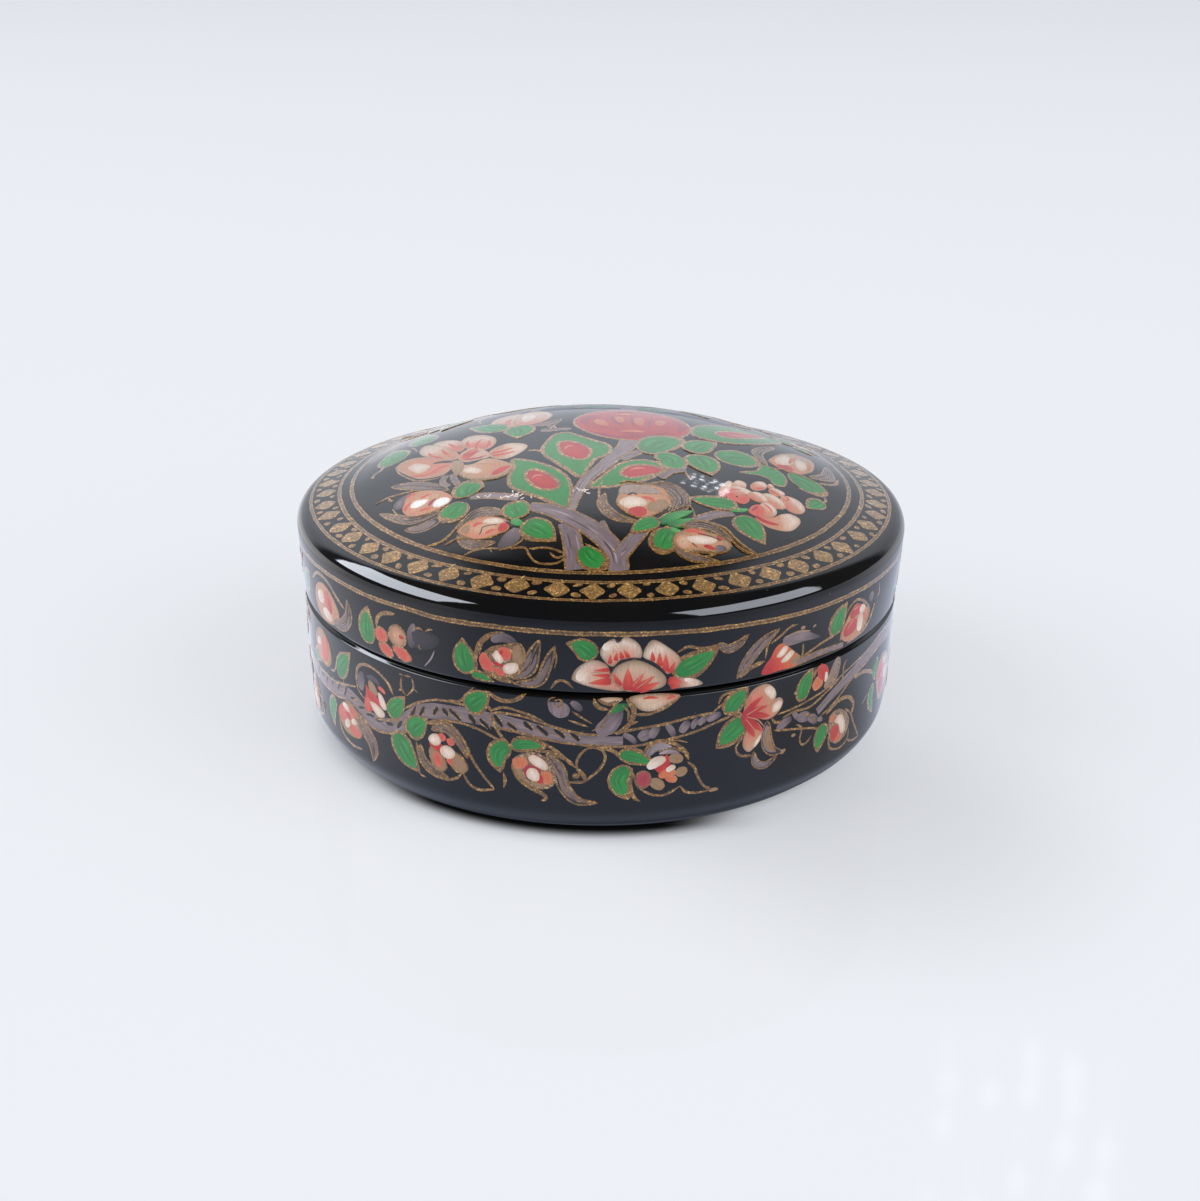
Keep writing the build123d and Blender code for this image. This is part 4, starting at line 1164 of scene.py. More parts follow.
def skirt_left(skirt):
    """Pale bud, leaf and berries on the left of the skirt."""
    skirt.patch("-56,28.6 -54.6,31 -51.6,32 -48.6,31 -46.4,28.4 -48,26.2 -51,25.5 -54.6,26",
        [BEIGE, PEACH, blend(PEACH, GILT, 0.4)])
    skirt.dabs("white", "-53,29.2,2.9,2.3,20 -50.9,26.8,3.6,2,-8")
    skirt.dabs("coral", "-50,29.3,3.9,2.5,110")
    skirt.dabs("red", "-49.6,28.9,2.6,1,110")
    skirt.golds(0.8, "-56.5,31.2 -53.5,33.1 -49.5,32.8 -46.5,31 -44.6,30")
    skirt.sepal("-49,26.3 -45.4,27.2 -43.5,29.4 -43.6,32", 2.0, lines=1)
    skirt.leaf("-38.6,26.2 -39,29 -38.2,32.7", 3.3)
    skirt.shapes("coral", "-36.9,28.9 -35.8,29.9 -34.5,29.4 -34.3,28.4 -35.3,27.4 -36.6,27.7",
        "-36.3,27.1 -34.7,27.5 -33.5,26.7 -33.4,25.6 -34.7,25.5 -36,26.2",
        "-33.2,27.4 -31.5,27.8 -30.1,27.1 -29.6,26.2 -30.8,25.6 -32.3,26.1", rim=0.28)
    skirt.patch("-33.4,30.4 -31.9,31.2 -30.7,30.4 -30.5,29 -31.5,27.8 -33.1,28 -33.9,29.1",
        [CREAM, PEACH, BEIGE], rim=0.4)
    skirt.dabs("red", "-31.2,29.5,0.7,1.2,90")
    skirt.patch("-30.2,30 -29.7,31.3 -26.9,31.8 -24.2,31 -24.7,29.6 -27.3,28.4 -29.8,28.8",
        [blend(MAUVE_DARK, BLACK, 0.4), blend(MAUVE_DARK, BLACK, 0.8)], "stems", 0.003)
    skirt.golds(0.75, "-36.5,29.6 -36.2,31.1 -35,32.3 -32.2,33.1")
    skirt.mark("-29.5,28.2 -29.3,30.4 -28.6,32.4", 1.7, [MAUVE_DARK, MAUVE], (0.5, 0.6), "stems")
    skirt.mark("-29.2,30.2 -27.4,30.4 -25.4,30.6", 2.2, [blend(MAUVE_DARK, BLACK, 0.45)], (0.3, 0.5), "stems",
        0.003)
    skirt.golds(0.42, "-29,31.4 -27.6,31.9 -26.9,31.7", "-26.6,31.6 -25.8,32.1 -25.2,32.1",
        "-28,29.2 -27.8,28.5 -27.5,28.7")
    skirt.mark("-27.2,25.8 -26,27.2 -25.2,28.8", 0.3, [MAUVE_PALE], (0.5, 0.5), "stems", 0.003)
    skirt.leaf("-19.5,26.1 -20.2,28.8 -20.3,32", 3.2)
    skirt.leaf("-19.2,26.2 -17.8,26.3 -15.4,25.6", 1.2, rim=0.3)


def skirt_bud(skirt):
    """The ringed bud left of the great blossom with its two long curls."""
    skirt.golds(0.75, "-18.3,28.4 -17.9,31 -16.5,32.8 -13.7,33.8")
    skirt.golds(0.4, "-17.7,29.7 -17.2,31.6 -15.8,32.8")
    skirt.mark("-15.8,32.2 -14,33 -11.8,32.4", 1.6, [MAUVE, MAUVE_DARK], (0.5, 0.6), "stems")
    skirt.sepal("-13.2,26.6 -10.4,28.4 -9.4,31 -8.5,33.2", 2.0, lines=1, rim=0.4)
    skirt.patch("-17.8,28.8 -17.2,27.3 -15.4,26.4 -12.4,26.6 -10.8,28.8 -10.6,31.2 -11.8,32.5 -14,31.9"
        " -16,31.2", [GILT_DARK, blend(GILT, BEIGE, 0.5), GILT], "gilding")
    skirt.shapes("beige", "-12.8,29.9 -12.5,31.5 -11.8,32.4 -11.1,32.1 -10.6,31 -10.9,29.7 -11.6,28.8")
    skirt.shapes("coral", "-17.8,28.9 -17.1,30.2 -16.2,29.5 -15.5,28.3 -15.6,27.3 -16.2,26.9 -17.3,27.7",
        "-14.8,30.8 -14.2,31.5 -13.1,31.3 -12.6,30.3 -13.3,29.4 -14.3,29.6",
        "-15.6,27.9 -14.4,28 -13.7,27 -14.8,26.8")
    skirt.dabs("red", "-14.2,30.6,0.9,0.7,70 -14.7,28.5,1.9,0.8,-15")
    skirt.shapes("white", "-15.6,29.9 -15,30.9 -14.6,30.6 -13.9,29.2 -14.4,28.7 -15,29",
        "-14.1,28.4 -13,29.1 -12,29.2 -11.6,28.6 -12,27.7 -13.1,27.2 -14,27.5")
    skirt.golds(0.4, "-12.7,29.8 -12.4,31.9 -11.4,32.2 -11,30")
    skirt.golds(0.95, "-17.2,27.3 -14.8,26.4 -12.4,26")
    skirt.sepal("-12.6,25.8 -8.8,26.6 -7.4,29.6 -6.3,32.5", 1.3, lines=0, rim=0.42, tone=-0.3)
    skirt.golds(0.3, "-6.2,31.6 -6.1,30 -6.5,28.7")


def skirt_right(skirt):
    """The coral bud with two white strokes, its dragged mauve sepal, and the last bud before the side."""
    skirt.sepal("20.8,25.6 22.8,28.8 25,31 27.5,32.5", 1.9, lines=1, rim=0.36)
    skirt.golds(0.5, "25.4,28 25.8,30.6 27.5,32.3", "26.2,30.4 28,31.3 29.6,32.3 30.9,32.4")
    skirt.golds(0.9, "21.4,25.7 23,27 25.4,27.7")
    skirt.mark("28.3,30.1 32,30.1 36.2,29", 2.1, [MAUVE, MAUVE, MAUVE_DARK], (0.3, 0.9), "stems")
    skirt.mark("28.6,30.8 31.4,31.1 33.8,30.6", 0.5, [BEIGE], (0.5, 0.5))
    skirt.patch("25,25.5 25.3,26.6 26.4,28 27.1,29.4 28.1,30 30.8,28.1 32.2,26.8 32.1,25.6 28.6,25.4",
        [RED, CORAL, ORANGE, blend(ORANGE, BEIGE, 0.6)], root=(26, 26))
    skirt.shapes("white", "27.4,27.9 28,28.8 28.8,29.4 29.5,29.1 29.3,28.3 28.3,27.6",
        "28.3,26.8 29,27.7 30.1,28.4 30.8,28 30.3,27.2 29.4,26.6")
    skirt.dabs("beige", "31.2,26.4,1.8,1.3,15")
    skirt.golds(0.45, "32.4,29 32.5,27.2 31.9,25.9")
    skirt.dabs("beige", "32.1,31.5,0.9,0.7,0 34.5,31.2,0.7,0.5,20")
    skirt.stem("31.6,26 36,26.3 42,25.9", (0.9, 0.7), rim=0.34)
    skirt.golds(0.5, "32.5,26.7 36,27.7 40,28.4")
    skirt.leaf("40,28.2 39.7,30.2 41.8,33.2", 3.0)
    skirt.golds(0.5, "41,26.8 41.8,31 44,32.6 46.6,31.8 49.2,29 47,26.4 43,25.8")
    skirt.golds(0.8, "50.9,30.2 49.6,27.4 46.4,25.9")
    skirt.patch("41,27.6 42.2,30 44.2,31.9 46.4,31.2 48.8,29.4 48,27.2 45.6,26 42.4,26.2",
        [blend(PEACH, GILT, 0.3)])
    skirt.dabs("red", "44.5,30.6,3.3,2.1,15 43.6,28.1,4.2,2.6,12")
    skirt.dabs("pink", "43.3,28.8,2.2,0.4,40 44.4,31.2,1.6,0.5,10")
    skirt.dabs("white", "46.5,30.4,2,1.5,-20 46.3,28.4,3.2,1.9,95")
    skirt.dabs("orange", "48.1,29.2,2.3,1.5,100")
    skirt.mark("48.7,31.2 50,32", 1.9, [MAUVE_DARK, MAUVE], (0.5, 0.5), "stems")
    skirt.golds(0.5, "51.8,33.2 52.4,31.1 51.6,30.6")


def wall_vine(base):
    """The branch round the cup: mauve between two gold lines, with slanted black eyes edged in gold left of
    the blossom and separate brush touches right of it."""
    base.band(curve("-79,18 -70,15.6 -60,14.5 -50,14.6 -46,15.4 -43,14.8 -39.5,13.4 -36,13.4 -33,14.4"
        " -30.5,16.4 -28.4,18 -25,19 -20,19.4 -14,19.3 -8,18.4 -2,17.5 3.6,17.4", 60)[0],
        [1.0, 1.0, 1.0, 1.0, 1.15, 1.2, 1.2, 1.3, 1.3, 1.3, 1.25, 1.2, 1.1, 0.9, 0.75], MAUVE)
    base.band(curve("37,16.2 40,17.8 45,19.7 50,21 56,21.9 64,21.2 72,19.6 79,18", 40)[0],
        [0.7, 0.95, 1.0, 1.0, 1.0, 1.0, 1.0], MAUVE)
    rng = np.random.default_rng(7)
    line = curve("-58,14.4 -46.4,15.2 -39.5,13.6 -33,14.2 -30.4,16.2 -26.4,18.6 -20,19.3 -14,19.2"
        " -8,18.4 0,17.5 3,17.5", 28)[0]
    slits = [(-29.3, 18.5, -30.7, 16.1), (-27.7, 18.9, -28.5, 17.4), (-25.2, 19.5, -25.9, 18.4),
        (-24.2, 19.6, -23.5, 18.7), (-22.9, 19.7, -21.4, 18.5), (-19.7, 19.5, -18.9, 18.4),
        (-17.9, 19.1, -16.7, 18), (-15.6, 20.2, -14.6, 18.7), (-13.5, 19.2, -12.4, 18.4),
        (-11, 19.7, -10, 18.7), (-9, 19.3, -7.7, 18.1), (-6.4, 19, -5.2, 17.8), (-4, 18.6, -3, 17.5)]
    for x, y, x2, y2 in slits:
        x, y, x2, y2 = (x + (x - x2) * 0.15, y + (y - y2) * 0.15, x2 - (x - x2) * 0.2, y2 - (y - y2) * 0.2)
        base.mark([(x, y), (x / 2 + x2 / 2 + 0.1, y / 2 + y2 / 2), (x2, y2)], 1.0, [BLACK], (0.6, 0.6),
            thick=0.003)
        base.golds(0.3, [(x - 0.35, y - 0.1), (x / 2 + x2 / 2 - 0.45, y / 2 + y2 / 2 - 0.1),
            (x2 - 0.1, y2 - 0.1)], [(x + 0.15, y + 0.2), (x / 2 + x2 / 2 + 0.55, y / 2 + y2 / 2 + 0.1),
            (x2 + 0.25, y2)])
    for x, y in line:
        if x > -31:
            continue
        tilt = (58 if x < -22 else -48) + rng.normal(0, 7)
        if -46 < x < -33:
            tilt = 14 + rng.normal(0, 8)
        c, s = (math.cos(math.radians(tilt)), math.sin(math.radians(tilt)))
        long = 2.1 + rng.uniform(-0.3, 0.5)
        base.dab(x, y + 0.25, long, 0.72 + rng.uniform(-0.1, 0.25), [BLACK, blend(BLACK, MAUVE_DARK, 0.25)],
            tilt, thick=0.003, form=(0.8, 0.8))
        side = 0.36 if x < -22 else -0.36
        middle = np.array([x - s * side, y + 0.25 + c * side])
        base.golds(0.27, [middle - np.array([c, s]) * long * 0.55, middle + np.array([-s, c]) * side * 0.3,
            middle + np.array([c, s]) * long * 0.55])
    for x, y, long, wide, tilt in ((4.6, 17.7, 2.6, 1.1, -38), (6.9, 18.1, 2.2, 1.9, 30),
            (8.3, 18.6, 2.3, 1.5, 60), (10.6, 18.7, 2.6, 1.2, -60), (12.9, 19, 2.2, 1.5, 55),
            (14.4, 19.4, 1.9, 1.0, 65), (15.7, 19.7, 2.0, 1.2, 40), (17.4, 20, 2.4, 1.3, 20),
            (30, 16.2, 3.2, 1.6, 25), (32.2, 16.9, 2.0, 1.1, -50), (34, 16.1, 3.0, 1.9, -15),
            (36, 15.2, 2.6, 1.6, -35), (37.8, 14.6, 1.6, 0.9, -20)):
        base.dab(x, y, long, wide, [MAUVE, MAUVE, MAUVE_DARK], tilt, thick=0.004, heap="stems",
            form=(0.35, 0.35))
    base.golds(0.5, "-79,19.1 -70,16.7 -60,15.6 -50,15.8 -46,16.8 -43,17.6",
        "-79,16.9 -70,14.5 -60,13.3 -50,13.4 -46,14 -42.6,13 -40,12 -37,11.9 -33.4,12.9 -31,14",
        "-44.4,14.6 -43,15.4 -41.8,15.4", "-38,13.8 -35,14.6 -32.2,15.6",
        "-31.6,17.6 -28.6,19.5 -25,20.8 -21,21 -19,20.7",
        "-27,16.7 -24.5,17.6 -21,17.9 -18,17.4 -15,16.2 -13.4,15.3", "-16.2,20.9 -14.2,21.7 -11,21.2 -8,20.2",
        "-15.8,18.2 -12,18 -8,17.3 -4,16.8 0,16.6 4,16.4 8,16.9 13,17.7 18,19.1 20.4,19.8",
        "-16,20.6 -12,20.7 -8,19.8 -5,19 -1,18.4 2,18.7 6,19.3 10,19.9 14,20.5 17.4,20.8",
        "28.4,18.1 33,18.5 38,19.4 41,20.1 45,21.2 50,22 56,23 64,22.3 72,20.7 79,19.1",
        "29.4,17.3 32,17.8 35,17.6 38,18.6 42,20.2", "28,15.6 32,14.8 36,13.7 38,12.9",
        "37.8,15.2 41,16.3 45,18.5 50,19.9 56,20.8 64,20.1 72,18.5 79,16.9", "33.8,16.9 35.6,15.9 37,14.3")
    base.golds(0.8, "46.5,18.7 49.5,18.7 52.5,17.6 54.3,16.6", "-1,16.7 1,16.2 2.4,15.6 3.6,14.4")
    base.golds(0.7, "-16.4,20.6 -15.6,18.6 -14.4,16.7 -13.2,15.6")


def wall_left(base):
    """Left of the blossom: the faded flower at the side, leaves, and three buds of white and red dabs."""
    base.leaf("-59.6,16.9 -57.4,17.7 -55.4,17", 1.9, rim=0.4)
    base.patch("-58.4,19.6 -57,22.4 -54,23.3 -51.4,21.8 -50.9,18.8 -53,17.1 -56,17.5",
        [PEACH, blend(PEACH, BEIGE, 0.5), GILT])
    base.dabs("pink", "-56,19.2,3.6,2.6,100 -54.2,17.9,2.6,1.2,-10")
    base.dabs("coral", "-53.4,20,4.6,3,80")
    base.dabs("white", "-56,20.5,2.4,1.5,15")
    base.golds(0.6, "-51.7,17.2 -50.2,17.6 -49,19.6 -47.2,22")
    base.leaf("-48.7,17.4 -46.9,19.9 -44.1,22.9", 3.1, rim=0.35)
    base.golds(0.4, "-47.2,17.6 -46.8,16.6")
    # bud under the vine, far left
    base.leaf("-50.5,12.8 -52,10.6 -51.4,7.3", 2.5, rim=0.3)
    base.golds(0.6, "-52.6,11.7 -51.6,12.7 -50.4,13.1")
    base.patch("-49.6,10.6 -48.4,12.8 -46,13.9 -43.6,13.3 -42,11 -42.6,8.8 -45.4,8 -48,8.6",
        [PEACH, blend(PEACH, BEIGE, 0.5), GILT])
    base.dabs("coral", "-47.8,11.1,3.2,2.8,30 -44.4,12.4,2.7,1.4,-35 -44.3,9.2,3.2,1.8,-10")
    base.dabs("red", "-46,11.4,1.8,1.2,-30")
    base.dabs("white", "-46.6,12.6,2.3,1.2,-20 -44.3,10.9,1.6,1.2,10 -46.4,9.9,1.9,1.5,40")
    base.sepal("-43.8,12 -41,10.7 -39.2,8.6 -39.4,6", 2.5, lines=2, rim=0.36, tone=-0.2)
    base.golds(0.55, "-49.4,9.6 -48.6,7.8 -46,6.7 -42.4,6.9", "-45.4,14.2 -43,13 -41.4,12.2")
    # bud in the gold loop
    base.mark("-41.6,17.4 -41.6,19 -41,20.8", 2.0, [MAUVE, MAUVE_DARK], (0.5, 0.5), "stems")
    base.mark("-40,20.4 -38.2,20.5 -36.6,19.9", 1.1, [MAUVE_DARK], (0.5, 0.5), "stems")
    base.golds(0.7, "-42.9,18.6 -42.3,21 -40.5,22.2 -37.5,22.2 -35,21 -33.7,19.2")
    base.golds(0.4, "-42.9,19 -42.5,17.4 -41,16.4 -39.4,16.3")
    base.shapes("beige", "-39.4,20 -38.2,19.7 -37.4,18.2 -38.4,17.4 -39.6,18.6")
    base.shapes("red", "-40.2,19.1 -39.6,18.4 -37.7,17.8 -36.7,16.6 -37.9,15.4 -39.9,14.6 -41,15.4"
        " -40.4,17.4")
    base.dabs("coral", "-39.9,15.6,2.6,1.7,70 -36.4,19.2,1.8,0.9,-20")
    base.shapes("white", "-37.3,18.6 -36.4,18.4 -35.6,17.2 -35.4,16.2 -36.3,16 -37,16.9",
        "-39.4,16.4 -38.6,16.6 -36.9,16.1 -36,15.5 -36,14.9 -37,14.4 -38.2,14.7")
    base.leaf("-35,15.5 -33.4,17.3 -31.2,19.8", 2.9, rim=0.2)
    base.golds(0.45, "-31.9,22.8 -32,21 -31,20", "-30.9,20 -29.6,21.6 -29.8,23.2", "-31.3,23.2 -29.9,23.4",
        "-32.4,23.2 -31.4,23.1", "-32.6,20.4 -31.6,20.9", "-29.7,21.5 -28.8,21.1")
    base.leaf("-31,13.4 -29.5,15.2 -27,17.2", 3.2, rim=0.5)
    base.leaf("-33.6,13.4 -32.2,10.6 -28.9,7.5", 3.9, rim=0.4)
    base.golds(0.5, "-29.3,7.8 -28.8,7.2 -27.9,7.1")
    # bud between the two leaves
    base.sepal("-26.4,15.6 -23.8,16.6 -21.4,14.8 -20.2,12.2", 1.7, lines=2, rim=0.42)
    base.golds(0.55, "-27.2,16.4 -24.6,17.1 -22.4,16 -20.8,14.4")
    base.sepal("-28.7,12.6 -28.4,10.2 -26.4,8.6 -23.6,8.3", 1.6, lines=2, rim=0.38)
    base.golds(0.5, "-29.5,13 -29.1,10.4 -27.2,8.3 -24.4,7.8 -22.2,8.5 -21.1,9.8",
        "-21,9.7 -20,8 -18.5,7.4 -15.8,7.9", "-20.8,15.4 -19.6,12.6 -17.8,10.1 -15.8,7.9")
    base.shapes("beige", "-26.9,12.5 -25.6,12.7 -24.2,11.2 -23.9,10 -24.4,9.2 -25.6,9 -26.5,9.9",
        "-23.5,11.6 -22.1,12.7 -20.6,11.8 -20.2,10.6 -21,9.6 -22.4,9.8 -23.2,10.6", rim=0.24)
    base.shapes("coral", "-26.2,11.8 -25.1,12 -24.7,10.8 -24.8,9.6 -25.8,9.8",
        "-23.9,11.6 -22.8,11.7 -22.8,10.4 -23.6,10.7", "-25.6,14.7 -24.6,15.5 -23.8,14.9 -24.4,14.1",
        "-23.8,14.6 -22.8,15 -22.3,14.1 -23.2,13.7")
    base.shapes("red", "-27,13.2 -25.6,13.7 -24.1,13.3 -23.8,12 -25.4,12.2")
    base.shapes("white", "-27.1,13.9 -26.4,14.9 -25.3,15.1 -24.7,14.3 -25,13.4 -26.1,13.1",
        "-25,12.8 -24.1,13.6 -23,13.5 -22.2,12.7 -22.5,11.9 -23.5,11.4 -24.7,11.9")
    # leaf over the vine and its tendrils
    base.leaf("-20.2,20.4 -18.4,22 -16.2,24", 3.0, rim=0.5)
    base.golds(0.5, "-23,21.4 -21.4,21.4 -20,22.8 -18.8,24.2")
    base.golds(0.85, "-16.6,23.7 -14.6,22.8 -12.6,23 -10.7,24.3", "-16.8,21.7 -16,20.6")


def wall_bird(base):
    """A mauve seed head like a small bird on two gold lines, left of the calyx."""
    base.patch("-7.4,23.3 -7.3,22 -6,20.9 -4.5,21.3 -4.2,22.6 -5.2,23.5 -6.4,23.4", [MAUVE, MAUVE], "stems")
    base.gold(ring_points(0.62, -5.9, 23.3, 9, 0.02), 0.42, closed=True)
    base.dabs("mauve", "-3.3,22.9,2.2,1.3,-42")
    base.golds(0.45, "-4,22.1 -2.6,21.2 -0.9,20.1", "-7.5,22.8 -7.2,23.9 -6.3,24.3")
    base.golds(0.6, "-4.5,20.6 -3,20.2 -1.6,19.7")


def wall_front(base):
    """The two buds under the vine in front, the loops between them and the bud right of the calyx."""
    base.leaf("-13.4,15.9 -15.4,14 -14.8,10.9", 2.7, rim=0.5, form=(0.5, 0.8))
    base.leaf("-13.2,15.4 -11,16.2 -7.6,15.9", 1.8, rim=0.45)
    base.golds(0.6, "-14.4,11 -14.1,9.6 -14.4,8.5", "-12.4,16.9 -9.6,17.1 -6.4,15.6 -3.4,13",
        "-9.4,15.2 -7,15.2 -5,14.1")
    base.sepal("-7.8,15.2 -5.9,12.8 -5,9.6 -3.2,7.5 0,7.1", 1.7, lines=1, rim=0.42, form=(0.7, 1.0))
    base.patch("-12.9,13.4 -11.6,14.5 -9.4,15.1 -7.4,14 -6.3,12 -6.3,10.4 -7,9.4 -9,9 -11,9.9 -12.4,11",
        [GILT, blend(GILT, BEIGE, 0.5)], "gilding")
    base.shapes("beige", "-12.8,12.8 -11.8,12.4 -11.1,11.3 -10.9,10.2 -12,10.8",
        "-10.4,10 -9,10.2 -7.6,9.8 -8.6,9.2")
    base.shapes("orange", "-13,13.3 -12.1,14 -10.8,13.9 -10.4,13 -11.4,12.1 -12.5,12.1",
        "-8.5,12 -7.2,12.1 -6.7,11.3 -7.2,9.8 -8.2,10.2")
    base.shapes("rose", "-11.2,11.9 -10.8,12.8 -9.6,12.9 -8.4,12.1 -8.8,11.2 -10,10.4 -10.9,10.8")
    base.shapes("white", "-10.5,14.2 -9.6,14.7 -8.2,14 -7.3,12.8 -7.6,12.2 -8.8,12.5 -10.1,13.3",
        "-10.8,11.7 -10.3,12.4 -9.3,12.4 -8.7,11.5 -8.8,10.4 -9.8,10.3 -10.6,10.8")
    base.dabs("coral", "-8.9,14,2,0.8,-35")
    base.shapes("red", "-9.3,11 -8.5,11.5 -8.1,10.8 -8.5,9.9 -9.2,10.2")
    base.golds(0.75, "-13,12.8 -12,10.4 -10,9 -8.2,8.1 -7.8,7.4 -8.6,7.1")
    base.golds(0.48, "-3.4,13.1 -2.1,11.8 -1.9,10.8 -4.6,10.4", "-4.7,11 -4.4,9.6",
        "-1.9,10.8 -3.2,13 -2.9,14.7 -1.2,16.3 0.5,15.9 1,14.6 0.2,12.8 -1.9,10.8")
    base.dabs("gold", "-3.3,11.5,1.1,1,0")
    # bud right of the loops
    base.leaf("2.9,15.3 5.4,14.8 8.6,13.3", 1.9, rim=0.5)
    base.leaf("4.8,13.1 3,11 4.7,7.7", 2.7, rim=0.45, form=(0.5, 0.7))
    base.golds(0.6, "5,13 4.9,10 5.4,8 6.4,7.2")
    base.mark("7.2,14.8 8.4,16.2 11,16", 1.6, [MAUVE, MAUVE_PALE], (0.5, 0.8), "stems")
    base.mark("9,15 10.6,15.3 12.2,14.8", 0.8, [MAUVE_PALE, MAUVE], (0.6, 0.6), "stems")
    base.golds(0.75, "6.7,15.5 8.4,17 10.8,16.7 13,15 13.6,13.5")
    base.golds(0.32, "8.8,15.4 11,15.8 12.8,14.9", "9.4,14.9 11,14.9", "10,17 12,16.9 13.3,16.5")
    base.golds(0.48, "5.2,12.2 6,9.8 7.8,8.4 10,8.1 12.4,9.3",
        "13.4,13.3 14.6,12.2 15.2,10.6 16.2,8.8 17.8,7.9", "12.4,9.4 13.4,8.2 15,7.8 17.4,8")
    base.dabs("beige", "8.8,9.9,2.7,1.9,-35 12.6,11.6,2,1.7,20 11.6,13.9,2.4,1.7,-10 17.9,7.8,1.5,0.7,5")
    base.dabs("orange", "11,10.6,2,1.4,-20")
    base.dabs("red", "9.6,12.5,3.4,2.2,-40 10.4,13.7,2.2,1,105")
    base.dabs("orange", "10.4,11.5,2.8,1.6,10")
    base.patch("5.7,11.4 6.4,12.3 7.6,11.9 7.8,10.4 7,9.5 6,10", [ROSE, blend(ROSE, BLUSH, 0.2)], rim=0.3)
    base.dabs("white", "8.7,13.5,3.2,1.7,28 10.9,12.4,1.6,1.1,25")


def wall_right(base):
    """Right of the blossom: the fan-shaped half flower and two buds, and the faded flower at the side."""
    base.leaf("19.4,20 20.6,21.8 22.9,24", 2.7, rim=0.5, form=(0.5, 0.8))
    base.leaf("22.8,19 20.7,17.2 17.9,14.8", 3.2, rim=0.55, form=(0.5, 0.8))
    base.golds(0.85, "19,20.4 21,20 22.4,19.2")
    base.sepal("26.6,17.6 26.9,13.8 28,12.2 30,11.5", 2.0, lines=0, rim=0.3, tone=0.3)
    base.mark("26.9,16.6 27,13.8 28.4,12", 1.2, [BEIGE, GILT], (0.5, 0.8))
    base.dabs("beige", "30.1,11.5,1.1,0.8,30")
    base.sepal("24.3,13 25,10.9 26.6,10.2 28.9,11", 1.1, lines=0, rim=0.34, tone=0.2)
    foot = (22, 19.4)
    for outline in ("22.3,19.1 23.4,18.8 25.2,17.5 25.9,16.1 25.3,14.6 23.6,13 22.5,14 22.4,15.4 23,17.2",
            "23.3,19.4 25.6,20 28.6,21 29.4,20.2 28.6,18.6 26.8,17.8 24.8,18.4",
            "22.3,19.8 22.9,22.4 24,23.5 25.8,23.9 27.1,23.3 28,22 27.8,20.8 25.5,19.4 23.3,19.2"):
        base.patch(outline, [CORAL, ORANGE, BLUSH, PEACH, CREAM], root=foot, edge=BEIGE)
    base.shapes("white", "25.6,22.9 26.4,23.5 27.4,22.9 27.9,21.7 27.3,21",
        "27.4,20 28.6,20.6 29.2,20 28.6,18.9 27.4,18.8", "24.3,14.2 24.9,15.2 25.6,15.8 25.4,14.6 24.4,13.6")
    for tip, width in (((25.5, 22), 1.2), ((26.4, 20.2), 1.2), ((27, 18.4), 1.4), ((25.8, 16.1), 1.3),
            ((24.4, 15.4), 1.4)):
        base.mark([foot, ((foot[0] + tip[0]) / 2, (foot[1] + tip[1]) / 2 + 0.12), tip], width,
            [blend(RED, ROSE, 0.3), RED, CORAL], (0.5, 0.8), thick=0.004)
    base.strokes("peach", 0.3, "22.6,19.4 24.7,20.2 26.1,21", "22.7,19.2 24.8,18.2 26.3,16.5",
        "22.6,18.9 23.6,17.6 24.8,15.9")
    base.golds(0.48, "22.5,16.1 21.3,14.3 22,12.9 24.3,12.4", "17,20.8 18.6,21.9 19.3,22.4",
        "18,22 18.6,23.2 21,23.8", "22.4,20.6 22.5,22.4 22.8,23.6",
        "32.4,15.4 33.7,14.5 33.4,12.6 34,11.5 35,11.6 36,12.5", "27.3,17.9 28.4,16.8 29.6,17")
    base.dabs("beige", "32,13.7,0.9,0.7,0 31.7,20.9,0.6,0.4,60")
    # bud above the vine
    base.leaf("33.4,19 33.4,21 35.2,24.2", 2.6, rim=0.4, form=(0.5, 0.8))
    base.mark("38.2,19.8 40.2,21.2 41.3,24.2", 2.6, [BEIGE, MAUVE], (0.5, 0.5), "stems")
    base.golds(0.5, "38.4,19.6 40.4,20.7 41.6,24", "35.7,24 35.6,22.4 36.2,23.6 37.4,24.2")
    base.shapes("orange", "35.3,21.2 36.4,22.4 37.6,21.8 37.8,20.6 36,20")
    base.shapes("red", "36.4,24 37.6,24.1 38.9,22.8 38.8,21.6 37.9,21.2 36.5,22.2")
    base.shapes("white", "38.1,22.6 38.7,22.4 38.7,21 38.2,20.8")
    # bud below it
    base.leaf("39.4,13.5 38.2,11.5 37.8,8.9", 2.6, rim=0.4, form=(0.5, 0.8))
    base.patch("40.2,14.4 42.4,14.9 44.8,13.6 46.3,11.4 45.4,9.4 42.8,8.7 40.6,10.2",
        [GILT, blend(GILT, BEIGE, 0.5)], "gilding")
    base.shapes("orange", "40.2,13.6 40.6,14.6 41.6,14.2 41.4,13", "41.8,9.4 43,10.2 44.6,9.9 43.6,9")
    base.shapes("red", "41.7,12.4 43,11.7 43.1,10.4 42,9.4 41,10.1 40.7,11.6")
    base.shapes("white", "42.5,13.8 43.6,13.6 44.8,11.8 44.9,10.1 43.7,10.2 42.8,12.1 41.6,12.9")
    base.golds(0.8, "39.2,15.1 42.4,16.3 45.4,15.8 47.2,14 46.8,12.3")
    base.golds(0.48, "44.4,14.2 46.5,12.6 47.7,10.6 50.3,7.1", "46.1,8.2 48,7.2 50.3,7.1",
        "40.2,11 41,8.6 43.8,7.6 46,8.3 46.1,10.2", "43.8,23 43,22.2 42.9,20.6 43,19.2")
    base.mark("50.4,12.6 51.8,13.3 53.2,13.7", 0.6, [MAUVE, MAUVE_DARK], (0.5, 0.5), "stems")
